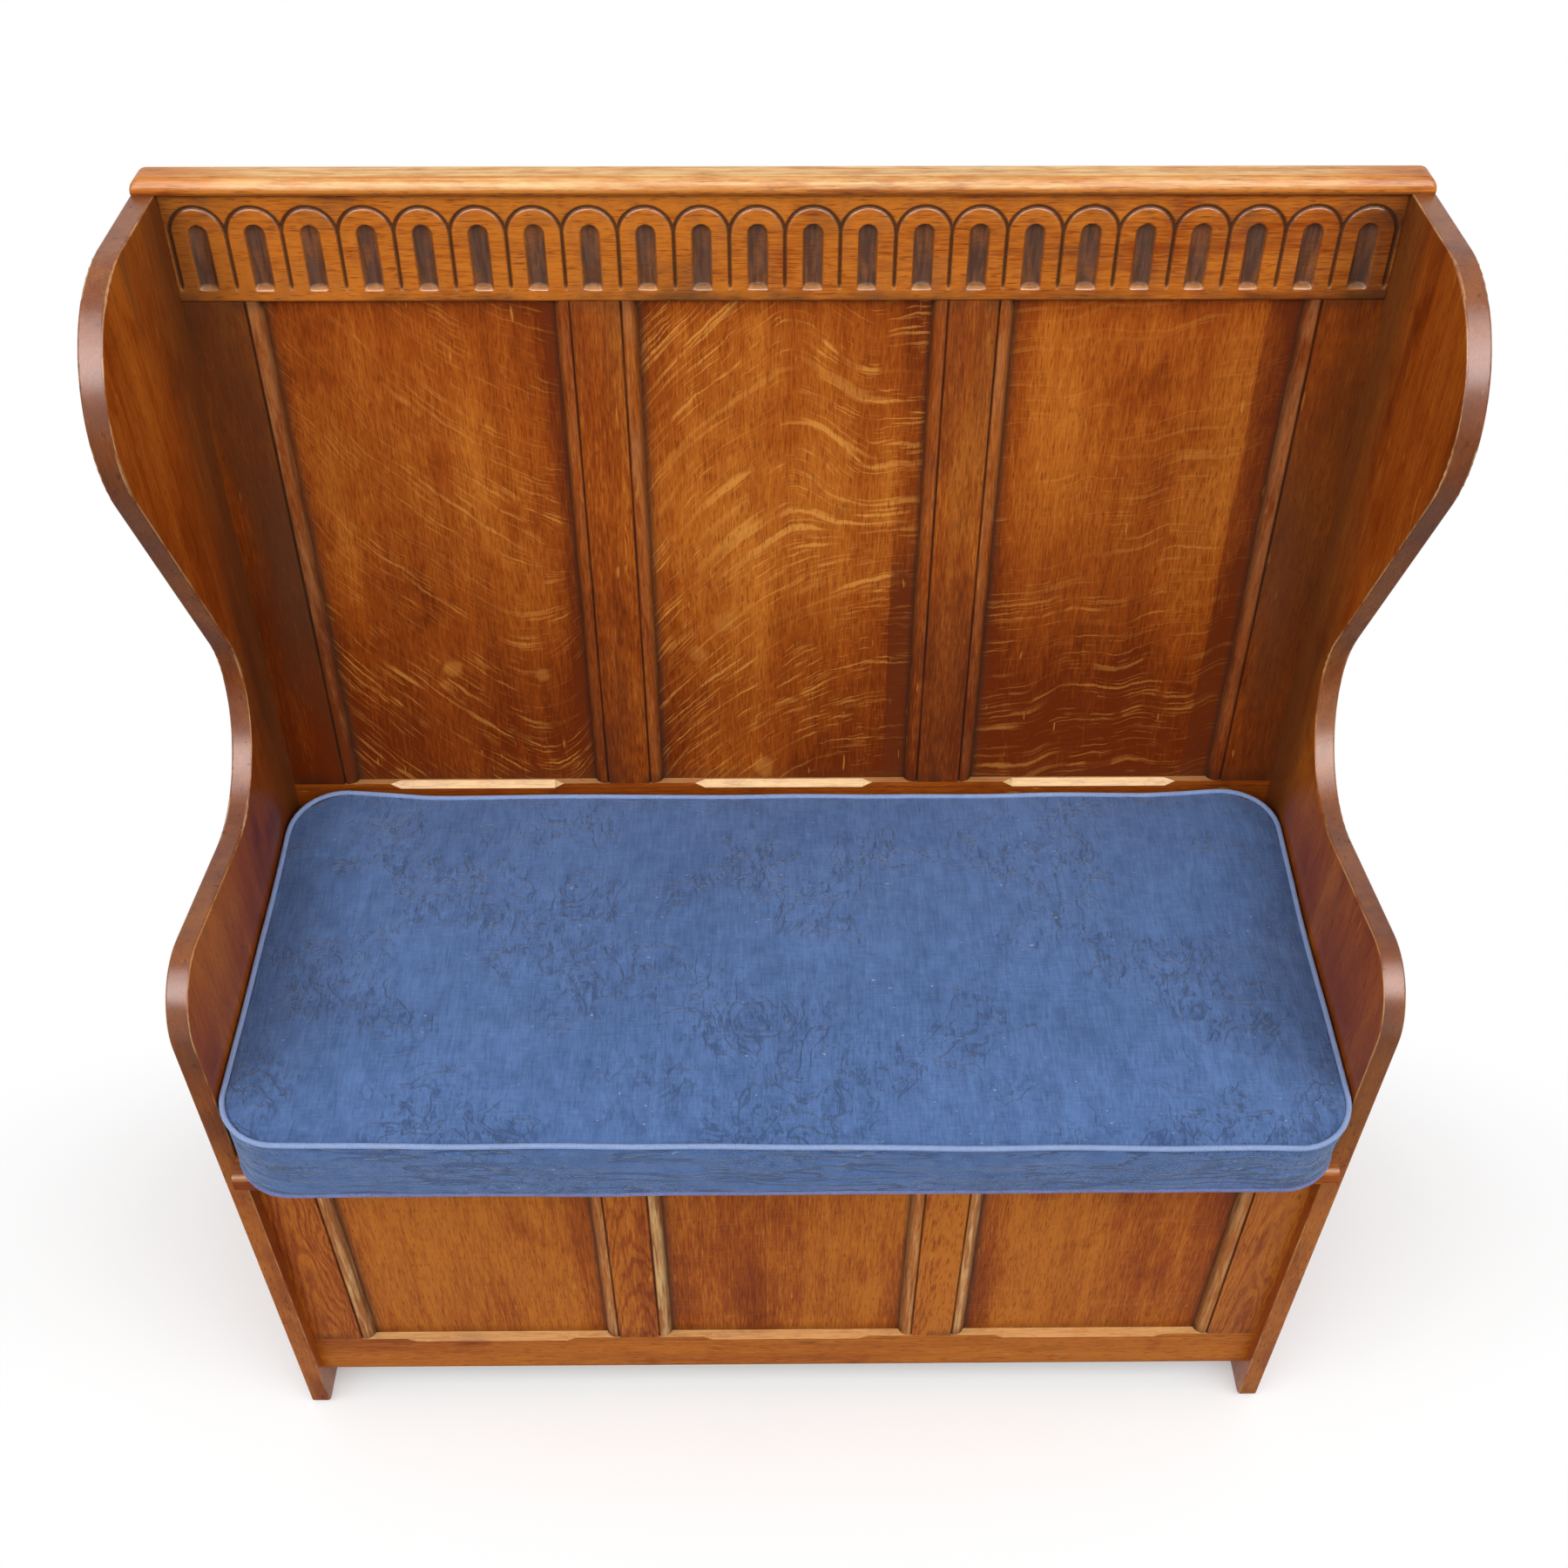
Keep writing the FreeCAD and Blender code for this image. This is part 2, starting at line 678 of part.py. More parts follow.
# Lid, fixed strip and hinges.
lid = seat_lid()
strip = fixed_seat_strip()
lid_leaves = []
strip_leaves = []
pins = []
lid_screws = []
strip_screws = []
for centre in (-hinge_centre, hinge_centre):
    spans = knuckle_spans(centre)
    lid_leaf = hinge_leaf(centre, -1, pin_radius + pin_running_clearance, spans[1::2])
    strip_leaf = hinge_leaf(centre, 1, pin_radius, spans[0::2])
    lid_side_screws = hinge_screws(centre, -1)
    strip_side_screws = hinge_screws(centre, 1)
    lid_leaves.append(lid_leaf.cut(Part.makeCompound(lid_side_screws)))
    strip_leaves.append(strip_leaf.cut(Part.makeCompound(strip_side_screws)))
    lid = lid.cut(hinge_housing(centre, -1)).cut(Part.makeCompound(lid_side_screws))
    strip = strip.cut(hinge_housing(centre, 1)).cut(Part.makeCompound(strip_side_screws))
    lid_screws += lid_side_screws
    strip_screws += strip_side_screws
    pins.append(hinge_pin(centre))

batten_head_z = lid_underside_z - batten_thickness
batten_screws = [
    screw(batten_screw_length, Vector(batten_centre, y, batten_head_z), Vector(0, 0, 1))
    for y in spaced(y_at(batten_front_depth + screw_edge_inset), y_at(batten_back_depth - screw_edge_inset), 3)]
batten_screws += [mirrored(piece) for piece in batten_screws]
batten_cutter = Part.makeCompound(batten_screws)
right_batten = batten().cut(batten_cutter)

export("seat_lid", lid.cut(batten_cutter))
export("fixed_seat_strip", strip)
export("hinge_lid_leaves", Part.makeCompound(lid_leaves))
export("hinge_fixed_leaves", Part.makeCompound(strip_leaves))
export("hinge_pins", Part.makeCompound(pins))
export("lid_leaf_screws", Part.makeCompound(lid_screws))
export("fixed_leaf_screws", Part.makeCompound(strip_screws))
export("lid_right_batten", right_batten)
export("lid_left_batten", mirrored(right_batten))
export("batten_screws", Part.makeCompound(batten_screws))

# Loose cushion.
cushion_body, cushion_top_piping, cushion_bottom_piping = cushion_pieces()
export("seat_cushion", cushion_body)
export("cushion_top_piping", cushion_top_piping)
export("cushion_bottom_piping", cushion_bottom_piping)
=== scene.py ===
import math

import bpy
import numpy as np
from mathutils import Matrix, Vector, noise


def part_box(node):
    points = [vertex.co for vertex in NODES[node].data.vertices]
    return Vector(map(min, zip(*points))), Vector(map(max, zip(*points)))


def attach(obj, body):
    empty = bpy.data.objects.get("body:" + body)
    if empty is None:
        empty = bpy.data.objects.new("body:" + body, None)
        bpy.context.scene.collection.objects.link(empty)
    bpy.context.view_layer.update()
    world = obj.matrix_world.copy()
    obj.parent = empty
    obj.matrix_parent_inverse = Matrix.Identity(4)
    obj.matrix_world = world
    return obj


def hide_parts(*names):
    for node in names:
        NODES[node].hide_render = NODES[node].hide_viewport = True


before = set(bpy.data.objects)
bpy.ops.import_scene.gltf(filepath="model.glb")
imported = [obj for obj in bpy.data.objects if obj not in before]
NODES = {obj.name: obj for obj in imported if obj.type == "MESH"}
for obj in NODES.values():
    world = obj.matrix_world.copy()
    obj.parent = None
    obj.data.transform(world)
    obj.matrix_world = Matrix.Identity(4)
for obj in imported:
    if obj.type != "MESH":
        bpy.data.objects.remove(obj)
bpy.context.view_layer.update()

bl_info = {
    "name": "Winged Oak Settle",
    "version": (1, 0, 0),
    "blender": (4, 5, 0),
    "location": "3D View > Sidebar > Settle",
    "description": "Builds the looks of a winged oak box settle around its packed frame",
    "category": "Object",
}

SEAT_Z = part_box("seat_lid")[1].z
INNER_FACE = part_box("right_side")[0].x

# The leaning back: its face passes through this line at seat level.
BACK_RAKE = math.radians(4.0)
BACK_FACE_Y = 0.169
CARVED_BOARD = 0.0195

# Foot and head of the panel openings, how far a panel goes into its grooves, and the underside of the box.
BACK_OPENING = (0.572, 1.0805)
FRONT_OPENING = (0.1115, 0.392)
IN_GROOVE = 0.007
BOX_UNDERSIDE = 0.052

# Muntins and stiles: half the flat between the quirks, and the moulding beyond it.
MUNTIN_HALF_FLAT = 0.02025
STILE_FLAT = 0.0503
MOULDING = 0.0135

# The cushion: its seams on plan, the upper seam's height and rise to the back, half the length of the ridge that
# its faces start from, and the widest that its cover may be.
SEAM_HALF_WIDTH = 0.4875
SEAM_FRONT, SEAM_BACK = -0.2365, 0.1665
SEAM_DEPTH, SEAM_MIDDLE_Y = SEAM_BACK - SEAM_FRONT, -0.035
SEAM_HEIGHT, SEAM_RISE = 0.5465, 0.0165
RIDGE_HALF_LENGTH = 0.29
COVER_HALF_WIDTH = 0.4895

# The stage: half the floor's side, and what the lamps point at.
FLOOR_REACH = 14.0
LAMP_AIM = (0.0, 0.0, 0.8)


def back_face_y(z):
    """Y of the back's face at a height."""
    return BACK_FACE_Y + (z - SEAT_Z) * math.tan(BACK_RAKE)


def grey(value):
    return (value, value, value, 1.0)


# Sizes and colours that a user would change.
def colour(label, note, value):
    return bpy.props.FloatVectorProperty(
        name=label, description=note, subtype="COLOR", size=4, min=0.0, max=1.0, default=(*value, 1.0))


def number(label, note, value, **kind):
    return bpy.props.FloatProperty(name=label, description=note, default=value, **kind)


def length(label, note, value):
    return number(label, note, value, min=0.0, subtype="DISTANCE", unit="LENGTH")


def angle(label, note, degrees):
    return number(label, note, math.radians(degrees), subtype="ANGLE", unit="ROTATION")


def watts(label, note, value):
    return number(label, note, value, min=0.0, subtype="POWER", unit="POWER")


def group(label, note, kind):
    return bpy.props.PointerProperty(type=kind, name=label, description=note)


class OakColours(bpy.types.PropertyGroup):
    golden: colour("Golden oak", "Palest ground colour of the polished oak", (0.53, 0.158, 0.016))
    tawny: colour("Tawny oak", "Middle ground colour of the polished oak", (0.310, 0.063, 0.0048))
    russet: colour("Russet oak", "Deepest ground colour of the polished oak", (0.145, 0.021, 0.0018))
    ray: colour("Ray fleck", "Silver-grain flecks across the quarter-sawn boards", (0.70, 0.29, 0.050))
    umber: colour("Umber", "Old stain towards the corners", (0.085, 0.033, 0.012))
    # Old wax and dirt; under the capping's nose and in the strips beside the panels' mouldings this colour is also
    # painted shade.
    grime: colour("Grime", "Old wax and dirt in cracks and carving", (0.045, 0.020, 0.010))
    # Dust and old polish; on the side boards' front edges it is also a painted sheen tint over the polish
    # highlights at the wing and the arm.
    dust: colour("Dust", "Old polish and dust in the carving", (0.115, 0.060, 0.042))
    # Rubbed mouldings; the right-facing ones' extra paleness is a painted highlight.
    worn: colour("Worn moulding", "Rubbed mouldings", (0.42, 0.160, 0.050))
    # The rubbed-edge colour is pale wear; on the capping's nose and top, on the rails' up-facing chamfers and
    # ledges, and on the right-facing mouldings it is also a painted highlight.
    cream: colour("Rubbed edge", "Brightest rubbed arrises and ledges", (0.84, 0.56, 0.24))
    inside: colour("Dry oak", "Unpolished oak inside the box", (0.36, 0.20, 0.090))
    inside_deep: colour("Dry oak grain", "Darker bands of the unpolished oak", (0.22, 0.115, 0.050))
    inside_pore: colour("Dry oak pores", "Open pores of the unpolished oak", (0.12, 0.06, 0.03))


class MetalColours(bpy.types.PropertyGroup):
    brass: colour("Brass", "Brass of the hinges and their screws", (0.52, 0.36, 0.15))
    brass_deep: colour("Brass tarnish", "Tarnish on the brass", (0.16, 0.10, 0.05))
    steel: colour("Steel", "Steel of the other screws", (0.40, 0.39, 0.37))
    steel_deep: colour("Steel tarnish", "Tarnish on the steel", (0.14, 0.11, 0.09))


class CarvingSizes(bpy.types.PropertyGroup):
    arches: bpy.props.IntProperty(
        name="Arches", description="Round arches along the frieze", default=22, min=1)
    pitch: length("Pitch", "Distance between arches", 0.0443)
    centre_height: length("Arch centre", "Height of the arch centres above the floor", 1.136)
    foot_height: length("Foot", "Height of the lower ends of flutes and grooves", 1.090)
    flute_radius: length("Flute radius", "Half the width of a flute", 0.0080)
    flute_depth: length("Flute depth", "Depth of a flute at its middle", 0.0056)
    foot_run: length("Foot run", "How far a flute's floor takes to rise to the face at its foot", 0.0036)
    groove_half_width: length("Groove half width", "Half the width of the incised line", 0.0020)
    groove_depth: length("Groove depth", "Depth of the incised line", 0.0020)
    cell: length("Cell", "Spacing of the carved surface's mesh", 0.00085)


class CushionSizes(bpy.types.PropertyGroup):
    voxel: length("Voxel", "Mesh size of the cushion before it is filled", 0.007)
    swell: length("Swell", "Furthest that the cover may move as it fills", 0.012)
    corner: length("Corner radius", "Plan radius of the cushion's corners", 0.054)
    piping: length("Piping radius", "Radius of the piping", 0.0024)
    tuck: length("Tuck", "How far the cover is pulled in beside the piping", 0.0007)
    crease: length("Crease depth", "Depth of the creases in the cover", 0.0011)
    velvet: colour("Velvet", "Cushion cover with the pile up", (0.083, 0.166, 0.380))
    velvet_deep: colour("Velvet folds", "Cover where the pile lies away", (0.034, 0.082, 0.215))
    lint: colour("Lint", "Pale specks in the pile", (0.45, 0.50, 0.66))
    # The piping's colours are paler than the cover's: partly its own colour, partly a painted highlight.
    cord: colour("Piping", "Cover of the piping", (0.25, 0.350, 0.590))
    cord_deep: colour("Piping folds", "Piping where the pile lies away", (0.20, 0.29, 0.53))
    # The lower piping's colours are the piping's darkened as painted shade.
    tucked: colour("Lower piping", "Cover of the lower piping, which light hardly reaches", (0.155, 0.190, 0.390))
    tucked_deep: colour("Lower piping folds", "Lower piping where the pile lies away", (0.085, 0.100, 0.235))


class StageSizes(bpy.types.PropertyGroup):
    lens: number("Lens", "Focal length in millimetres", 39.0, subtype="DISTANCE_CAMERA", unit="CAMERA")
    pitch: angle("Pitch", "How far the camera looks down", 43.67)
    yaw: angle("Yaw", "How far the camera turns to the right", 0.63)
    roll: angle("Roll", "How far the camera tilts", -0.20)
    place: bpy.props.FloatVectorProperty(
        name="Place", description="Where the camera stands", default=(-0.0132, -1.0622, 1.7523),
        subtype="TRANSLATION", unit="LENGTH")
    window_power: watts("Soft lights", "Power of each of the two large soft lights", 58.0)
    sheen_power: watts("Sheen lights", "Power of the lights that only show in polish", 170.0)
    sky: number("Sky", "Strength of the even light around", 0.5)


class SettleSettings(bpy.types.PropertyGroup):
    oak: group("Oak", "Colours of the oak", OakColours)
    metal: group("Metal", "Colours of the hinges and screws", MetalColours)
    carving: group("Carving", "Sizes of the frieze", CarvingSizes)
    cushion: group("Cushion", "Cushion and piping", CushionSizes)
    stage: group("Stage", "Camera and lights", StageSizes)


def settings():
    return bpy.context.scene.settle


def shade_of(kind, name):
    """A colour of one of the settings' groups."""
    return tuple(getattr(getattr(settings(), kind), name))


def oak_shade(name):
    return shade_of("oak", name)


# Shader maths.
class Field:
    """A socket whose value varies over a surface, with arithmetic that adds Math nodes."""

    def __init__(self, nodes, socket):
        self.nodes = nodes
        self.socket = socket

    def __add__(self, other):
        return self.nodes.maths("ADD", self, other)

    __radd__ = __add__

    def __sub__(self, other):
        return self.nodes.maths("SUBTRACT", self, other)

    def __rsub__(self, other):
        return self.nodes.maths("SUBTRACT", other, self)

    def __mul__(self, other):
        return self.nodes.maths("MULTIPLY", self, other)

    __rmul__ = __mul__

    def __truediv__(self, other):
        return self.nodes.maths("DIVIDE", self, other)

    def __pow__(self, power):
        return self.nodes.maths("POWER", self, power)

    def __abs__(self):
        return self.nodes.maths("ABSOLUTE", self)

    def most(self, other):
        return self.nodes.maths("MAXIMUM", self, other)

    def least(self, other):
        return self.nodes.maths("MINIMUM", self, other)

    def ease(self, low, high, start=0.0, end=1.0):
        """Smooth step from start at low to end at high."""
        return self.nodes.one("ShaderNodeMapRange", "Result", {"interpolation_type": "SMOOTHSTEP"}, {
            "Value": self, "From Min": low, "From Max": high, "To Min": start, "To Max": end})

    def near(self, value, reach):
        """1 where the field has this value, falling to 0 at this distance from it."""
        return abs(self - value).ease(0.0, reach, 1.0, 0.0)


class Nodes:
    """An emptied node tree and the means to fill it."""

    def __init__(self, tree):
        self.tree = tree
        tree.nodes.clear()

    def add(self, kind, looks=None, values=None):
        """A node of this type, with its settings set first and then its sockets set or linked."""
        node = self.tree.nodes.new(kind)
        for name, value in (looks or {}).items():
            if name == "stops":
                self.set_stops(node.color_ramp, value)
            else:
                setattr(node, name, value)
        for name, value in (values or {}).items():
            if isinstance(value, Field):
                self.tree.links.new(value.socket, node.inputs[name])
            else:
                node.inputs[name].default_value = value
        return node

    def set_stops(self, ramp, stops):
        while len(ramp.elements) < len(stops):
            ramp.elements.new(1.0)
        for element, (place, shade) in zip(ramp.elements, stops):
            element.position = place
            element.color = shade

    def one(self, kind, output, looks=None, values=None):
        return Field(self, self.add(kind, looks, values).outputs[output])

    def maths(self, operation, first, second=None):
        values = {0: first} if second is None else {0: first, 1: second}
        return self.one("ShaderNodeMath", 0, {"operation": operation}, values)

    def split(self, vector):
        node = self.add("ShaderNodeSeparateXYZ", None, {0: vector})
        return [Field(self, node.outputs[index]) for index in range(3)]

    def vector(self, x, y, z):
        return self.one("ShaderNodeCombineXYZ", 0, None, {0: x, 1: y, 2: z})

    def mix(self, factor, first, second):
        return self.one("ShaderNodeMix", 2, {"data_type": "RGBA"}, {0: factor, 6: first, 7: second})

    def mix_shaders(self, factor, first, second):
        return self.one("ShaderNodeMixShader", 0, None, {0: factor, 1: first, 2: second})

    def shown_rays(self):
        """1 for what the camera sees, straight, in a reflection or through glass."""
        rays = self.add("ShaderNodeLightPath")
        camera, glossy, through = [
            Field(self, rays.outputs["Is " + name + " Ray"]) for name in ("Camera", "Glossy", "Transmission")]
        return camera.most(glossy).most(through)


# How far the wood's figure is drawn out along each axis.
GRAIN = {"X": (0.045, 1.0, 1.0), "Y": (1.0, 0.045, 1.0), "Z": (1.0, 1.0, 0.045)}


class Finish(Nodes):
    """One material, with a Principled shader and the fields that drive it."""

    def __init__(self, name, roughness, coat=0.0, coat_roughness=0.15, sheen=0.0, metallic=0.0, specular=0.5):
        self.material = bpy.data.materials.new(name)
        self.material.use_nodes = True
        super().__init__(self.material.node_tree)
        self.shader = self.add("ShaderNodeBsdfPrincipled", None, {
            "Roughness": roughness, "Coat Weight": coat, "Coat Roughness": coat_roughness,
            "Sheen Weight": sheen, "Sheen Roughness": 0.45, "Metallic": metallic,
            "Specular IOR Level": specular})
        self.surface = Field(self, self.shader.outputs["BSDF"])
        self.output = self.add("ShaderNodeOutputMaterial", None, {"Surface": self.surface})
        place = self.add("ShaderNodeTexCoord")
        self.point = Field(self, place.outputs["Object"])
        self.x, self.y, self.z = self.split(self.point)
        self.nx, _, self.nz = self.split(Field(self, place.outputs["Normal"]))

    def clouds(self, vector, scale=1.0, detail=2.0, roughness=0.5, distortion=0.0):
        return self.one("ShaderNodeTexNoise", "Fac", None, {
            "Vector": vector, "Scale": scale, "Detail": detail, "Roughness": roughness,
            "Distortion": distortion})

    def mottle(self, scale, offset=(0, 0, 0), detail=2.0, roughness=0.5, distortion=0.0):
        """Noise with so many clouds to a metre along each axis."""
        place = self.one("ShaderNodeMapping", 0, {"vector_type": "POINT"}, {
            "Vector": self.point, "Scale": scale, "Location": offset})
        return self.clouds(place, 1.0, detail, roughness, distortion)

    def grained(self, grain, seed, scale, stretch=1.0, detail=2.0, roughness=0.5):
        """Noise in a board's own place in the wood, long along its grain."""
        factors = [scale * (part if part == 1.0 else part / stretch) for part in GRAIN[grain]]
        offset = (seed * 1.37 + 3.1, seed * 2.11 + 5.3, seed * 0.83 + 1.7)
        return self.mottle(factors, offset, detail, roughness)

    def away(self, x, z):
        """Distance from a place, seen from the front."""
        return ((self.x - x) ** 2.0 + (self.z - z) ** 2.0) ** 0.5

    def attribute(self, name):
        return self.one("ShaderNodeAttribute", "Fac", {"attribute_name": name})

    def drive(self, socket, value):
        self.tree.links.new(value.socket, self.shader.inputs[socket])

    def raise_surface(self, height, distance, strength):
        self.drive("Normal", self.one("ShaderNodeBump", 0, None, {
            "Height": height, "Distance": distance, "Strength": strength}))


class Oak(Finish):
    """Polished oak. Every board is cut from its own place in the wood, so no two are alike."""

    def __init__(self, name, seed, grain="Z", gloss=0.04, shine=0.19):
        super().__init__(name, 0.42, coat=gloss, coat_roughness=shine, specular=0.04)
        self.seed, self.grain, self.gloss = seed, grain, gloss

    def cut(self, shift, scale, stretch=1.0, detail=2.0, roughness=0.5):
        """Noise of this board, one of several that each have a shift."""
        return self.grained(self.grain, self.seed + shift, scale, stretch, detail, roughness)

    def spot(self, x, z, radius, strength):
        """A pale rubbed spot with a ragged edge."""
        ragged = self.clouds(self.point, 90.0) * (radius * 0.9)
        return (self.away(x, z) + ragged).ease(radius * 1.45, radius * 0.9) * strength

    def polished(self, tone, grime, contrast=1.0, darks=(), flecks=None, umber=None, dust=None, worn=None,
                 cream=None, spots=(), polish=None, dull=None, top_gloss=1.0):
        """The finished material. darks deepen the ground; flecks to dull are masks, and so is the dark mask laid
        last, which holds dirt and, in places, painted shade.
        """
        broad = self.cut(0.0, 9.0, 0.30) - 0.5
        cloudy = self.cut(47.0, 34.0, 0.16) - 0.5
        bands = self.cut(11.0, 75.0, 1.0, 3.0, 0.6) - 0.5
        streaks = self.cut(23.0, 620.0, 0.8, 2.0, 0.65) - 0.5
        pore = self.cut(31.0, 900.0, 0.5, 1.0).ease(0.58, 0.70)
        scratch = self.cut(61.0, 210.0, 0.35, 1.0).ease(0.755, 0.80)
        smudge = self.mottle((17, 17, 12), (self.seed, 6, 1), 3.0, 0.6)
        ground = broad * (1.25 * contrast) + cloudy * (0.35 * contrast) + bands * (0.60 * contrast)
        ground = ground + streaks * (0.95 * contrast) + tone - smudge.ease(0.55, 0.75) * 0.26
        for dark in darks:
            ground = ground - dark
        base = self.one("ShaderNodeValToRGB", "Color", {"stops": [
            (0.0, oak_shade("russet")), (0.5, oak_shade("tawny")), (1.0, oak_shade("golden"))]}, {0: ground})

        # From the wood outwards: mask, its colour, and how far the streaks break it up.
        layers = [(flecks, "ray", 0.0), (pore * 0.55, "russet", 0.0), (scratch * 0.45, "ray", 0.0),
                  (umber, "umber", 0.0), (dust, "dust", 0.0), (worn, "worn", 1.6), (cream, "cream", 1.2)]
        layers += [(self.spot(*spot), "ray", 0.0) for spot in spots]
        for mask, shade, broken in layers + [(grime, "grime", 0.0)]:
            if mask is None:
                continue
            if broken:
                mask = mask * (streaks * broken + 0.95).least(1.0)
            base = self.mix(mask, base, oak_shade(shade))

        coat = self.nz.ease(0.05, 0.35) * (top_gloss - self.gloss) + self.gloss
        if polish is not None:
            coat = (coat + polish).least(1.0)
        if dull is not None:
            coat = coat * (1.0 - dull)
        self.drive("Base Color", base)
        self.drive("Roughness", streaks * 0.25 + 0.42 + pore * 0.2)
        self.drive("Coat Weight", coat * (1.0 - grime * 0.7))
        self.raise_surface(streaks * 0.35 + bands * 0.5 - pore * 0.8, 0.00025, 0.6)
        return self.material


# Figure of the wood.
def sawn_figure(wood, seed, heart, spread, strength):
    """Cathedral figure of a flat-sawn upright: long arched rings about a heart line."""
    warp = wood.mottle((34, 34, 9), (seed, 0, 3)) - 0.5
    ripple = wood.mottle((120, 120, 26), (seed, 0, 3), 1.0) - 0.5
    across = (wood.x - heart[0]) / spread[0] + warp * 1.6
    rings = across ** 2.0 + (wood.z - heart[1]) / spread[1] + warp * 1.5 + ripple * 0.5
    return wood.maths("SINE", rings * 11.0).ease(-0.1, 0.9) * strength


def silver_grain(wood, flow, seed, strength, reach, fine, bold):
    """Silver grain that follows a flow, the height of a line above its course at the panel's left edge.
    bold is where it is broadest: x, z and how far around."""
    warp = wood.mottle((9, 9, 9), (seed, seed * 2.0, 0), 1.0) - 0.5
    jagged = wood.mottle((70, 70, 60), (seed, 4, 0)) - 0.5
    height = wood.z - flow + warp * 0.030 + jagged * 0.006
    patches = wood.mottle((10, 10, 14), (seed * 4.0, 1, 2)) - 0.5
    broken = wood.mottle((48, 48, 40), (seed, 8, 0), 1.0).ease(0.35, 0.50, 0.2, 1.0)

    def layer(shift, run, rise, cover, edge=0.10):
        """Long thin flecks: run and rise are how many to a metre along and across their course."""
        place = wood.vector(wood.x * run + (seed + shift) * 3.7, height * rise, (seed + shift) * 1.9)
        return wood.clouds(place, 1.0, 1.0, 0.35).ease(cover, cover + edge)

    strong = layer(0.0, 15.0 / reach, 220.0, 0.625) * 0.95
    slim = layer(9.0, 24.0 / reach, 400.0, 0.615) * 0.8
    small = layer(17.0, 50.0, 700.0, 0.635) * (0.5 * fine)
    total = strong.most(slim).most(small) * broken * (patches * 3.8 + 0.70).ease(0.0, 1.0, 0.10, 1.0)
    if bold is not None:
        x, z, around = bold
        broad = layer(23.0, 13.0, 105.0, 0.575, 0.12)
        total = total.most(broad * wood.away(x, z).ease(around, around * 0.3))
    return total * strength


# Flows of the silver grain, each as the height of a line above its height at the panel's left edge.
def falling_flow(wood):
    """Left back panel: lines fall steeply from the left, level out, and turn up low down at the right."""
    across = (wood.x + 0.427) / 0.238
    turn = (across - 0.72).most(0.0) ** 2.0
    low = wood.z.ease(0.86, 0.74)
    return (across * -1.40 + across ** 2.0 * 0.55 + turn * low * 3.2) * 0.238


def peaked_flow(wood):
    """Centre back panel: lines climb from the left and level off, with a drop right of the middle higher up."""
    across = (wood.x + 0.121) / 0.2425
    drop = across.ease(0.46, 0.84) * wood.z.ease(0.80, 0.93) * 0.075
    return (across * 1.25 - across ** 2.0 * 0.61) * 0.2425 - drop


def stepped_flow(wood):
    """Right back panel: nearly level waves that climb to the right in steps."""
    steps = wood.x.ease(0.238, 0.272) + wood.x.ease(0.318, 0.352) + wood.x.ease(0.392, 0.42)
    return steps * 0.010 + wood.x * 0.06


def level_flow(wood):
    """Front panels: nearly level waves."""
    return wood.maths("SINE", wood.x * 34.0 + wood.z * 6.0) * 0.005 + wood.x * 0.10


# Finishes of the boards. Each takes the CAD node's name and a seed.
def paint(node, material):
    """Gives a CAD node its finish."""
    data = NODES[node].data
    data.materials.clear()
    data.materials.append(material)


def middle(node):
    low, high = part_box(node)
    return (low.x + high.x) / 2.0


def paint_side(node, seed, lean):
    """A side board. lean is -1 on the left board and 1 on the right one."""
    wood = Oak("oak_" + node, seed, gloss=0.10, shine=0.28)
    y, z = wood.y, wood.z
    inner = (wood.nx * -lean).ease(0.7, 0.95)
    rim = abs(wood.nx).ease(0.8, 0.5)
    behind = y - back_face_y(z)

    streak = wood.mottle((1.0, 26, 1.6), (seed * 3.0, 1, 0)) * z.ease(0.56, 0.72, 0.4, 1.0)
    face = streak.ease(0.45, 0.72) * 0.35 - behind.ease(-0.19, -0.12, 0.18, 0.0) + z.ease(0.66, 0.56) * 0.22
    blotch = wood.mottle((40, 40, 14), (seed, 7, 0), 3.0, 0.65)
    band = rim * (z.ease(0.38, 0.62, -0.48, -0.22) + blotch.ease(0.42, 0.68) * 0.30) + 0.16
    dark = (face + 0.05) * inner + (1.0 - inner) * band

    smear = wood.mottle((5, 16, 3.2), (seed, 1, 0), 3.0)
    corner = (behind + smear * 0.10).ease(-0.055, 0.02) * 0.62
    umber = (corner + smear.ease(0.60, 0.74) * 0.35).least(0.8) * inner + rim * z.ease(0.35, 0.55, 0.12, 0.50)

    arris = abs(wood.nx).near(0.68, 0.34) * y.ease(0.236, 0.226)
    cream = arris * wood.clouds(wood.point, 30.0, 3.0).ease(0.35, 0.6, 0.05, 0.85) * 0.6

    chip = wood.mottle((160, 160, 90), (seed, 0, 0)).ease(0.66, 0.74)
    rub = wood.mottle((50, 50, 30), (seed, 2, 0), 4.0, 0.7)
    # Dust along the front edges, strongest at the wing and the arm; there it is also a painted sheen tint where the
    # polish highlights fall.
    handled_and_lit = z.near(1.02, 0.14) + z.near(0.62, 0.07)
    dust = rim * rub.ease(0.35, 0.65, 0.4, 1.0) * (handled_and_lit * 0.34 + 0.16 + 0.06 * lean)
    paint(node, wood.polished(
        tone=0.60, grime=chip * (1.0 - inner) * 0.5, contrast=0.85, darks=(dark,), umber=umber, cream=cream,
        dust=dust, polish=inner * z.ease(0.72, 0.58) * 0.45, top_gloss=0.72))


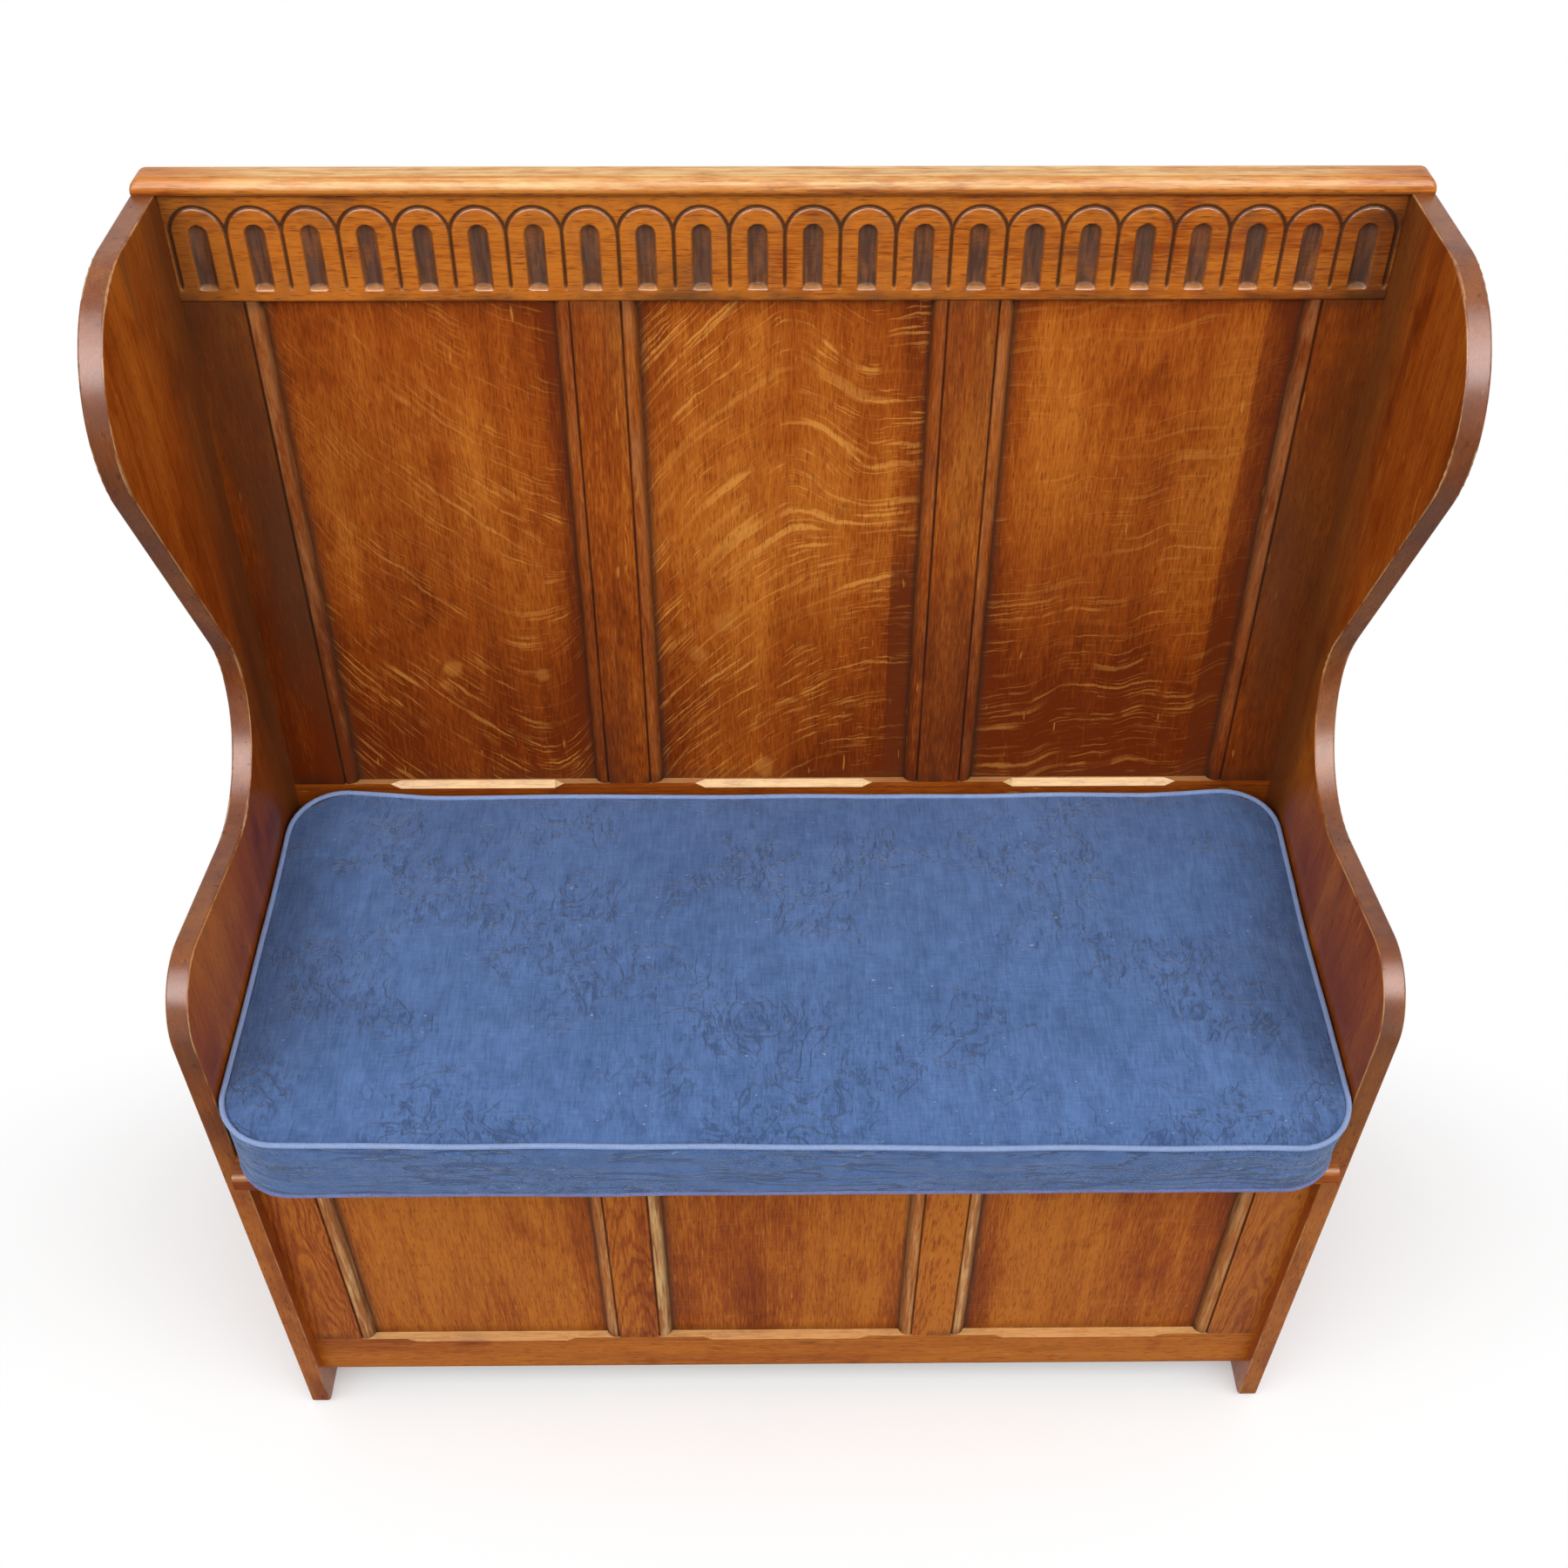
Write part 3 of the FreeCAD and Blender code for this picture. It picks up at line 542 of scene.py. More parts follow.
def paint_capping(node, seed):
    """The capping: rubbed pale along its nose, with a painted highlight on its nose and top, and painted shade
    under the nose.
    """
    wood = Oak("capping_oak", seed, "X", gloss=0.1)
    low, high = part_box(node)
    beside = abs(wood.x)
    nose = wood.nz.ease(0.999, 0.90) * wood.nz.ease(0.05, 0.35)
    top = wood.nz.ease(0.95, 0.995)
    rub = wood.mottle((26, 160, 160), (1, 0, 0), 4.0, 0.65)
    streak = wood.mottle((7, 330, 330), (4, 0, 0), 3.0, 0.6)
    ends = beside.ease(high.x - 0.01, high.x - 0.13, 0.20, 1.0)
    # Pale on the nose and the top: rubbed wear plus a painted highlight where they face the lights.
    cream = (nose * 0.72 + top * 0.90) * rub.ease(0.30, 0.62, 0.35, 1.0) * streak.ease(0.32, 0.55, 0.45, 1.0)
    blot = wood.mottle((9, 70, 70), (6, 2, 0), 3.0, 0.65)
    dark = blot.ease(0.52, 0.70) * 0.5 + beside.ease(high.x - 0.09, high.x) * 0.42
    # Darker along the capping's lowest two millimetres: painted shade under its nose.
    paint(node, wood.polished(
        tone=0.92, grime=wood.z.ease(low.z + 0.0024, low.z + 0.0010) * 0.6, contrast=1.5, darks=(dark,),
        cream=cream * ends, top_gloss=0.35))


def paint_upright(node, seed, centre, half_flat, opening, tone, worn_and_lit_left, worn_and_lit_right, stain=0.0, pale=0.0,
                  figure=None, painted_foot_shade=0.3, contrast=1.0, worn_least=0.1, low_share=0.35, dusty=0.0):
    """A muntin or stile: flat, quirks and mouldings. opening is the foot and the head of its panel opening."""
    wood = Oak("oak_" + node, seed)
    foot, head = opening
    place = wood.x - centre
    gap = abs(place) - half_flat

    # Painted shade towards the foot of the opening, and a slightly darker moulding beyond the flat.
    darks = [wood.z.ease(head - 0.12, foot) * painted_foot_shade + gap.ease(0.0, 0.003) * 0.10]
    if figure is not None:
        darks.append(sawn_figure(wood, *figure))

    dent = wood.mottle((40, 40, 13), (seed, 0, 2), 3.0)
    quirk = gap.near(0.0008, 0.0019) * dent.ease(0.2, 0.6, 0.35, 0.85)
    edge = gap.ease(MOULDING * 0.6, MOULDING) * 0.55
    ends = (wood.z.near(foot, 0.018) + wood.z.near(head, 0.014)) * dent.ease(0.35, 0.6) * 0.5
    grime = (quirk + edge + ends + dent.ease(0.66, 0.78) * 0.3).least(0.9)

    # The mouldings are rubbed pale, the right-facing ones more than the left-facing: wear plus a painted highlight
    # on the side that faces the light.
    left = place.ease(-half_flat - 0.0018, -half_flat - 0.003) * worn_and_lit_left
    right = place.ease(half_flat + 0.0018, half_flat + 0.003) * worn_and_lit_right
    rub = wood.mottle((70, 70, 11), (seed * 2.0, 1, 0), 4.0, 0.7)
    worn = (left + right) * rub.ease(0.38, 0.60, worn_least, 1.0) * wood.z.ease(0.70, 0.95, low_share, 1.0)

    umber = cream = dust = None
    if stain:
        smear = wood.mottle((14, 14, 3), (seed, 2, 0), 3.0)
        umber = smear.ease(0.35, 0.65) * stain * abs(place).ease(half_flat + 0.004, half_flat, 0.3, 1.0)
    if pale:
        cream = worn * wood.mottle((260, 260, 16), (seed, 1, 5), 2.0, 0.6).ease(0.38, 0.62) * pale
    if dusty:
        dust = wood.mottle((160, 160, 12), (seed, 9, 5), 3.0, 0.6).ease(0.3, 0.7, 0.4, 1.0) * dusty
    paint(node, wood.polished(
        tone=tone, grime=grime, contrast=contrast, darks=darks, umber=umber, worn=worn, cream=cream, dust=dust))


def paint_rail(node, seed, tone=0.5, ledge=None, bottom=None, rubbed=(0.8, 0.35)):
    """A rail with its grain along the seat. ledge is the height of a chamfered ledge, bottom of a dirty lower edge,
    and rubbed says how pale the chamfers and the ledge are.
    Their paleness is rubbed wear plus a painted highlight where they face up."""
    wood = Oak("oak_" + node, seed, "X")
    grime = wood.mottle((12, 60, 60), (seed, 0, 2), 3.0).ease(0.62, 0.78) * 0.35
    if ledge is not None:
        grime = grime + wood.z.near(ledge - 0.0062, 0.0012) * wood.nz.ease(0.5, 0.1) * 0.5
    if bottom is not None:
        grime = grime + wood.z.near(bottom, 0.004) * 0.3
    rub = wood.mottle((30, 90, 90), (seed, 3, 0), 4.0, 0.7)
    # Chamfers and flats that face up are painted pale: rubbed wear plus a painted highlight from the lights above.
    tilted = wood.nz.ease(0.3, 0.6)
    chamfer = tilted * wood.nz.ease(0.95, 0.80) * rubbed[0]
    flat = tilted * wood.nz.ease(0.80, 0.95) * rubbed[1]
    scratch = wood.mottle((22, 420, 420), (seed, 5, 0), 1.0).ease(0.78, 0.84)
    cream = ((chamfer + flat) * rub.ease(0.25, 0.55, 0.55, 1.0) + scratch * 0.4).least(0.95)
    paint(node, wood.polished(tone=tone, grime=grime.least(0.8), contrast=0.9, cream=cream, top_gloss=0.35))


def paint_panel(node, seed, flow, strength, tone, band=0.0, band_width=0.022, contrast=1.0, spots=(),
                painted_shade_low=0.68, painted_shade_high=0.14, reach=1.0, fine=1.0, split=None, top_share=1.0, band_top=1.2,
                bold=None):
    """A quarter-sawn panel: ground, silver grain, dirt and painted shade along its edges, painted shade towards its
    foot and head, and an old tide band along its right edge.
    top_share is how much of the silver grain is left at the head, band_top how high the band is at full depth."""
    wood = Oak("oak_" + node, seed, gloss=0.03)
    x, z = wood.x, wood.z
    low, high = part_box(node)
    left, right = low.x + IN_GROOVE, high.x - IN_GROOVE
    foot, head = low.z + IN_GROOVE, high.z - IN_GROOVE
    shoulder = head - (head - foot) * 0.36

    wobble = wood.mottle((3, 3, 12), (seed, 0, 0)) * 0.006
    tide = (x + wobble).ease(right - band_width + 0.001, right - band_width + 0.005)
    tide = tide * z.ease(band_top + 0.06, band_top, 0.25, 1.0)

    def edges(reach_in, at_left, at_right):
        """Masks of these strengths along both long edges."""
        return (x - left).ease(reach_in, 0.0) * at_left + (right - x).ease(reach_in, 0.0) * at_right

    # Dirt and painted shade beside the mouldings, painted shade towards the foot and the head, and dirt and painted
    # shade just under the rail above.
    dark = edges(0.034, 0.32, 0.30) + z.ease(shoulder, foot + 0.02) * painted_shade_low
    dark = dark + z.ease(shoulder + 0.04, head) * painted_shade_high + (head - z).ease(0.035, 0.0) * 0.18
    if split is not None:
        dark = dark + x.ease(split + 0.0006, split - 0.0006) * 0.20
    corner = (x - left).ease(0.012, 0.0) * 0.35 + z.ease(foot + 0.02, foot) * 0.35
    knot = wood.mottle((26, 26, 20), (seed, 4, 0), 3.0).ease(0.74, 0.79)
    crack = 0.0 if split is None else x.near(split, 0.0009) * 0.4
    fading = z.ease(head - 0.05, head - (head - foot) * 0.6, top_share, 1.0) * (1.0 - tide * 0.55)
    paint(node, wood.polished(
        tone=tone, contrast=contrast, darks=(dark + tide * band,),
        # Grime and painted shadow in the narrow strips beside the mouldings, with dirt at knots and in the crack.
        grime=(edges(0.006, 0.6, 0.6) + knot * 0.35 + crack).least(0.8),
        flecks=silver_grain(wood, flow(wood), seed, strength, reach, fine, bold) * fading,
        umber=(corner + tide * band * 0.45).least(0.8), spots=spots))


def frieze_material():
    """Dusty flutes, dark incised lines, rubbed lips, stained ends and painted shade under the capping."""
    wood = Oak("oak_frieze", 41.0, "X")
    flute, groove, lip = [wood.attribute(name) for name in ("flute", "groove", "lip")]
    stain = flute * (1.0 - lip)
    smear = wood.mottle((14, 40, 26), (2, 0, 0), 3.0, 0.6)
    ends = abs(wood.x).ease(INNER_FACE - 0.08, INNER_FACE) * 0.45
    low = wood.z.ease(1.092, 1.083) * smear.ease(0.35, 0.6) * 0.5
    patch = wood.mottle((60, 60, 26), (2, 0, 0), 3.0, 0.7)
    streak = wood.mottle((240, 240, 22), (4, 0, 0))
    dent = wood.mottle((24, 70, 70), (7, 0, 2), 3.0)
    grime = groove * 0.88 + stain * streak.ease(0.35, 0.65) * 0.5 + dent.ease(0.68, 0.78) * 0.25
    # The band just under the capping is darker: painted shade under its overhang.
    return wood.polished(
        tone=0.98, grime=grime.least(0.92), contrast=1.4, darks=(wood.z.near(1.170, 0.006) * 0.25,),
        umber=(smear.ease(0.52, 0.74) * 0.40 + ends + low).least(0.85),
        dust=(stain * patch.ease(0.30, 0.66, 0.65, 0.95) + patch.ease(0.45, 0.72) * 0.22).least(0.95),
        cream=lip * 0.30, dull=(flute + groove).least(1.0) * 0.9)


def dry_oak(name, seed, grain):
    """Unpolished oak, as inside the box."""
    wood = Finish(name, 0.75, specular=0.3)
    bands = wood.grained(grain, seed, 60.0, 1.0, 3.0, 0.6)
    streaks = wood.grained(grain, seed + 4.0, 320.0)
    vessels = wood.grained(grain, seed + 9.0, 950.0, 0.7, 1.0).ease(0.56, 0.68)
    shade = (bands - 0.5) * 1.1 + (streaks - 0.5) * 0.7 + 0.5
    base = wood.mix(shade.least(1.0).most(0.0), oak_shade("inside_deep"), oak_shade("inside"))
    wood.drive("Base Color", wood.mix(vessels * 0.5, base, oak_shade("inside_pore")))
    wood.raise_surface(streaks * 0.4 - vessels, 0.0003, 0.5)
    return wood.material


def metal(name, kind, roughness):
    """Metal of a kind, brass or steel, tarnished in patches and finely scratched."""
    finish = Finish(name, roughness, metallic=1.0)
    spread = finish.clouds(finish.point, 130.0, 4.0, 0.7)
    scratch = finish.mottle((180, 1800, 1800), detail=1.0)
    bright, tarnish = shade_of("metal", kind), shade_of("metal", kind + "_deep")
    finish.drive("Base Color", finish.mix(spread.ease(0.4, 0.7), bright, tarnish))
    finish.drive("Roughness", spread * 0.4 + roughness - 0.15)
    finish.raise_surface(scratch + spread, 0.0001, 0.5)
    return finish.material


def velvet(name, kind, pile=1.0):
    """Blue velvet: ribs from front to back, brushed patches, short strokes where the pile lies over, and painted
    shade on the top near its edges.
    kind is velvet, cord or tucked, and pile is how strong its marks are; the cord's paler colours are partly a
    painted highlight and the tucked ones are painted shade."""
    cloth = Finish(name, 0.85, sheen=0.25, specular=0.2)
    side = cloth.nz.ease(0.75, 0.35)
    rib = cloth.mottle((560, 42, 430), detail=1.0) - 0.5
    cross = cloth.mottle((60, 460, 420), (5, 0, 0), 1.0) - 0.5
    nap = cloth.mottle((11, 7, 15)) - 0.5
    bars = cloth.mottle((75, 9, 60), (8, 3, 0), 1.0).ease(0.56, 0.66)
    brushed = cloth.mottle((60, 44, 60), (9, 0, 0), 3.0, 0.7) - 0.5
    strokes = cloth.mottle((190, 95, 170), (2, 7, 0), distortion=0.8)
    where = cloth.mottle((9, 11, 13), (4, 4, 0)).ease(0.42, 0.62)
    stroke = strokes.ease(0.57, 0.66) * where
    pale = strokes.ease(0.42, 0.33) * where
    wander = cloth.mottle((26, 22, 42), (3, 1, 0), 3.0, distortion=1.0)
    fold = abs(wander - 0.5).ease(0.020, 0.0) * where.ease(0.0, 0.6, 0.15, 1.0) * (1.0 - side)
    ripple = cloth.mottle((11, 11, 100), (1, 6, 0), distortion=0.2)
    crease = abs(ripple - 0.5).ease(0.045, 0.010) * (nap * 7.0 + 0.5).ease(0.0, 1.0, 0.1, 1.0) * side
    # Painted shade on the top near its side edges and its front edge, where it falls away.
    edge = abs(cloth.x).ease(0.435, 0.485) * 0.22 + cloth.y.ease(-0.205, -0.232) * 0.14
    speck = cloth.mottle((170, 340, 340), detail=0.0).ease(0.845, 0.87)
    marks = fold * 0.46 + stroke * 0.50 + crease * 1.25 - pale * 0.28 + (edge - bars * 0.15) * (1.0 - side)
    shade = nap * 0.75 + brushed * 1.35 + rib * 1.1 + cross * 0.6 + 0.58 - marks * pile
    ground, deep = shade_of("cushion", kind), shade_of("cushion", kind + "_deep")
    base = cloth.mix(shade.least(1.0).most(0.0), deep, ground)
    cloth.drive("Base Color", cloth.mix(speck * (0.45 * pile), base, shade_of("cushion", "lint")))
    height = rib * 0.8 + cross * 0.6 + brushed * 0.5 + (pale - fold * 1.4 - stroke * 1.1 - crease * 2.2) * pile
    cloth.raise_surface(height, 0.0015, 0.7)
    return cloth.material


# Pieces and their meshes.
def new_mesh(name, vertices, faces):
    mesh = bpy.data.meshes.new(name)
    mesh.from_pydata(vertices, [], faces)
    mesh.update()
    return mesh


def new_object(name, data):
    made = bpy.data.objects.new(name, data)
    bpy.context.scene.collection.objects.link(made)
    return made


def new_piece(name, mesh, material, body):
    mesh.shade_smooth()
    mesh.materials.clear()
    mesh.materials.append(material)
    piece = new_object(name, mesh)
    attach(piece, body)
    return piece


def applied_mesh(name, shape):
    """A new mesh of an object with its modifiers and bevel applied."""
    mesh = bpy.data.meshes.new_from_object(shape.evaluated_get(bpy.context.evaluated_depsgraph_get()))
    mesh.name = name
    return mesh


def mesh_points(mesh):
    points = np.empty(len(mesh.vertices) * 3)
    mesh.vertices.foreach_get("co", points)
    return points.reshape(-1, 3)


def carved_depth(x, z, sizes):
    """Depth of the carving below the face, and masks for flute, groove and lip."""
    count, pitch = sizes.arches, sizes.pitch
    first = -(count - 1) / 2.0 * pitch
    index = np.clip(np.rint((x - first) / pitch), 0, count - 1)
    spread = np.sin(index * 12.9898) * 43758.5453
    jitter = spread - np.floor(spread)
    arch = first + index * pitch
    across = x - (arch + (jitter - 0.5) * 0.0007)
    above = z - sizes.centre_height
    rise = (z - sizes.foot_height) / sizes.foot_run
    radial = np.where(above > 0.0, np.hypot(across, above), np.abs(across))
    radius = sizes.flute_radius * (0.97 + 0.07 * jitter)
    bowl = np.sqrt(np.clip(1.0 - (radial / radius) ** 2, 0.0, 1.0))
    foot_slope = np.clip(rise, 0.0, 1.0) ** 0.7
    flute = sizes.flute_depth * (0.9 + 0.2 * jitter) * bowl * foot_slope
    line_radius = pitch / 2.0
    to_arch = np.abs(np.hypot(across, np.maximum(above, 0.0)) - line_radius)
    to_shaft = np.abs(np.abs(x - arch) - line_radius)
    distance = np.where(above > 0.0, to_arch, to_shaft)
    point = np.clip((z - sizes.foot_height + 0.001) / 0.006, 0.0, 1.0)
    half = sizes.groove_half_width * (0.45 + 0.55 * point)
    groove = sizes.groove_depth * np.clip(1.0 - distance / half, 0.0, 1.0) * (point > 0.0)
    groove = np.where(above <= 0.0, groove * point, groove)
    inside_flute = np.clip(bowl * 1.6, 0.0, 1.0)
    lip = inside_flute * (z > sizes.foot_height) * np.clip(1.0 - rise, 0.0, 1.0)
    end = np.hypot(to_shaft, z - sizes.foot_height - 0.001)
    lip = np.maximum(lip, np.clip(1.6 - end / 0.0012, 0.0, 1.0))
    line = np.clip(groove / sizes.groove_depth * 2.2, 0.0, 1.0)
    return np.maximum(flute, groove), inside_flute * (foot_slope > 0.0), line, lip


# Cushion.
def seam_outline(corner, count):
    """Plan points of the seam, evenly spaced, starting at the middle of the right side."""
    straight_y = SEAM_DEPTH - 2.0 * corner
    straight_x = 2.0 * (SEAM_HALF_WIDTH - corner)
    arc = corner * math.pi / 2.0
    total = 2.0 * (straight_x + straight_y) + 4.0 * arc
    legs = [straight_y, arc, straight_x, arc] * 2
    right, front, back = SEAM_HALF_WIDTH - corner, SEAM_FRONT + corner, SEAM_BACK - corner
    corners = [(right, back), (-right, back), (-right, front), (right, front)]
    points = []
    for step in range(count):
        distance = (step / count * total + straight_y / 2.0) % total
        for leg, size in enumerate(legs):
            if distance <= size or leg == 7:
                break
            distance -= size
        turn = leg // 2
        heading = turn * math.pi / 2.0
        if leg % 2 == 0:
            out = Vector((math.cos(heading), math.sin(heading))) * corner
            along = Vector((-math.sin(heading), math.cos(heading)))
            points.append(Vector(corners[turn - 1]) + out + along * distance)
        else:
            facing = heading + distance / corner
            x, y = corners[turn]
            points.append(Vector((x + corner * math.cos(facing), y + corner * math.sin(facing))))
    return points


def waver(x, y, z):
    return noise.noise(Vector((x, y, z)))


def seam_wave(place, seed, size):
    return waver(place.x * 9.0, place.y * 9.0, seed) * size


def top_seam(place):
    """A seam point of the top: it drops and drifts forward at the front right, and lifts at the rear corners."""
    depth = (place.y - SEAM_FRONT) / SEAM_DEPTH
    right = (place.x + SEAM_HALF_WIDTH) / (2.0 * SEAM_HALF_WIDTH)
    height = SEAM_HEIGHT + SEAM_RISE * depth - 0.009 * right * (1.0 - depth) ** 2
    corner_lift = max(0.0, abs(place.x) - 0.36) / 0.127 * max(0.0, depth - 0.6) / 0.4
    height += 0.010 * corner_lift + seam_wave(place, 3.0, 0.0030)
    forward = -0.004 * right * (1.0 - depth) ** 2 + seam_wave(place, 8.0, 0.0015)
    return Vector((place.x, place.y + forward, height))


def bottom_seam(place):
    """The lower seam runs just above the seat, a little inside the boxing."""
    forward = -0.004 * max(0.0, 0.4 - (place.y - SEAM_FRONT)) / 0.4 + seam_wave(place, 14.0, 0.0012)
    height = SEAT_Z + 0.0030 + abs(seam_wave(place, 21.0, 0.0010))
    return Vector((place.x * 0.996, place.y * 0.990 + forward, height))


def corded_seam(place):
    """Where the upper piping lies: drawn in a millimetre against the cover."""
    seam = top_seam(place)
    return Vector((seam.x * 0.9978, seam.y - (seam.y - SEAM_MIDDLE_Y) * 0.0045, seam.z - 0.0004))


def tucked_seam(place):
    """Where the lower piping lies: pressed up against the boxing."""
    return bottom_seam(place) + Vector((0.0, 0.0, 0.0022))


def seam_gap(points, corner, seams):
    """How far each point is from the nearest of these seams."""
    outline = seam_outline(corner, 520)
    line = np.array([tuple(seam(place)) for seam in seams for place in outline])
    gaps = np.empty(len(points))
    for begin in range(0, len(points), 2000):
        part = points[begin:begin + 2000]
        gaps[begin:begin + 2000] = np.linalg.norm(part[:, None, :] - line[None, :, :], axis=2).min(axis=1)
    return gaps


def cushion_shell(corner):
    """Closed starting form: two faces of rings drawn in from the seams, joined by the boxing."""
    count, rings, levels = 260, 22, 9
    outline = seam_outline(corner, count)
    vertices, faces = [], []

    def ring(points):
        start = len(vertices)
        vertices.extend(tuple(point) for point in points)
        return start

    def bridge(first, second):
        for step in range(count):
            after = (step + 1) % count
            faces.append((first + step, first + after, second + after, second + step))

    def drawn_in(level, lift):
        share_in = level / rings
        made = []
        for place in outline:
            seam = lift(place)
            ridge_x = max(-RIDGE_HALF_LENGTH, min(RIDGE_HALF_LENGTH, place.x))
            target = Vector((ridge_x, SEAM_MIDDLE_Y, 0.0))
            flat = Vector((seam.x, seam.y, 0.0)).lerp(target, share_in * 0.985)
            height = seam.z * (1.0 - share_in) + lift(Vector((flat.x, flat.y))).z * share_in
            made.append(Vector((flat.x, flat.y, height)))
        return made

    bottom_rings = [ring(drawn_in(level, bottom_seam)) for level in range(rings, -1, -1)]
    for first, second in zip(bottom_rings[:-1], bottom_rings[1:]):
        bridge(second, first)
    previous = bottom_rings[-1]
    for level in range(1, levels):
        current = ring([bottom_seam(place).lerp(top_seam(place), level / levels) for place in outline])
        bridge(previous, current)
        previous = current
    top_rings = [ring(drawn_in(level, top_seam)) for level in range(0, rings + 1)]
    bridge(previous, top_rings[0])
    for first, second in zip(top_rings[:-1], top_rings[1:]):
        bridge(first, second)
    faces.append(tuple(top_rings[-1] + step for step in range(count)))
    faces.append(tuple(bottom_rings[0] + step for step in range(count - 1, -1, -1)))
    return vertices, faces


def filled_points(piece, sizes):
    """Where the cover's points are once cloth pressure has filled it, held along both seams."""
    start = mesh_points(piece.data)
    reach = seam_gap(start, sizes.corner, (top_seam, bottom_seam))
    held = piece.vertex_groups.new(name="held")
    held.add(np.where(reach < sizes.voxel * 0.95)[0].tolist(), 1.0, "REPLACE")
    cloth = piece.modifiers.new("fill", "CLOTH")
    for name, value in {
            "quality": 5, "mass": 0.25, "tension_stiffness": 14.0, "compression_stiffness": 14.0,
            "bending_stiffness": 0.6, "use_pressure": True, "uniform_pressure_force": 4.0,
            "vertex_group_mass": "held"}.items():
        setattr(cloth.settings, name, value)
    cloth.settings.effector_weights.gravity = 0.0
    cloth.collision_settings.use_collision = False
    scene = bpy.context.scene
    for step in range(1, 21):
        scene.frame_set(step)
    filled = mesh_points(piece.evaluated_get(bpy.context.evaluated_depsgraph_get()).data)
    piece.modifiers.remove(cloth)
    scene.frame_set(1)
    move = filled - start
    size = np.linalg.norm(move, axis=1, keepdims=True)
    move *= np.minimum(1.0, sizes.swell / np.maximum(size, 1e-9))
    return start + move


def crease_cover(mesh, sizes):
    """Pulls the cover in beside the piping, presses creases into it, keeps it on the seat and clear of the back."""
    placed = mesh_points(mesh)
    facing = np.empty(placed.size)
    mesh.vertex_normals.foreach_get("vector", facing)
    facing = facing.reshape(-1, 3)
    pulled = seam_gap(placed, sizes.corner, (top_seam,))
    push = -sizes.tuck * np.exp(-((pulled - 0.006) / 0.0045) ** 2)
    for spot, ((x, y, z), (_, _, up)) in enumerate(zip(placed.tolist(), facing.tolist())):
        flat_line = abs(waver(x * 13.0, y * 13.0, 4.0))
        side_line = abs(waver(x * 7.0, y * 7.0, z * 62.0))
        patch = 0.5 + 0.5 * waver(x * 4.0, y * 5.0, 9.0)
        push[spot] -= sizes.crease * max(0.0, up) * patch * max(0.0, 1.0 - flat_line / 0.10)
        push[spot] -= sizes.crease * 1.3 * (1.0 - abs(up)) * max(0.0, 1.0 - side_line / 0.16)
        push[spot] += 0.0016 * waver(x * 7.0, y * 9.0, z * 9.0)
    placed += facing * push[:, None]
    placed[:, 2] = np.maximum(placed[:, 2], SEAT_Z + 0.0012)
    placed[:, 0] = np.clip(placed[:, 0], -COVER_HALF_WIDTH, COVER_HALF_WIDTH)
    placed[:, 1] = np.minimum(placed[:, 1], back_face_y(placed[:, 2]) - 0.0035)
    mesh.vertices.foreach_set("co", placed.ravel())
    mesh.update()


def shape_cushion(piece, sizes):
    """Remeshes, fills, smooths and creases the cover."""
    piece.data.remesh_voxel_size = sizes.voxel
    with bpy.context.temp_override(object=piece, active_object=piece, selected_objects=[piece]):
        bpy.ops.object.voxel_remesh()
    piece.data.vertices.foreach_set("co", filled_points(piece, sizes).ravel())
    piece.data.update()
    soft = piece.modifiers.new("smooth", "SUBSURF")
    soft.levels = 1
    coarse = piece.data
    finer = applied_mesh("finer_cover", piece)
    piece.modifiers.remove(soft)
    piece.data = finer
    finer.name = piece.name
    bpy.data.meshes.remove(coarse)
    crease_cover(finer, sizes)
    finer.shade_smooth()


def piping_piece(name, place_of, radius, material):
    curve = bpy.data.curves.new(name, "CURVE")
    curve.dimensions = "3D"
    curve.bevel_depth = radius
    curve.bevel_resolution = 4
    curve.resolution_u = 4
    spline = curve.splines.new("POLY")
    outline = seam_outline(settings().cushion.corner, 420)
    spline.points.add(len(outline) - 1)
    for point, place in zip(spline.points, outline):
        point.co = (*place_of(place), 1.0)
    spline.use_cyclic_u = True
    holder = new_object(name + "_curve", curve)
    mesh = applied_mesh(name, holder)
    bpy.data.objects.remove(holder)
    return new_piece(name, mesh, material, "cushion")


# Operators, one for each group of pieces.
class SETTLE_OT_sides(bpy.types.Operator):
    """Finish the two shaped side boards"""

    bl_idname = "settle.sides"
    bl_label = "Side boards"

    def execute(self, context):
        paint_side("left_side", 1.0, -1.0)
        paint_side("right_side", 2.0, 1.0)
        return {"FINISHED"}


class SETTLE_OT_capping(bpy.types.Operator):
    """Finish the capping, rubbed pale along its nose, with a painted highlight on its nose and top"""

    bl_idname = "settle.capping"
    bl_label = "Capping"

    def execute(self, context):
        paint_capping("top_cap", 51.0)
        return {"FINISHED"}


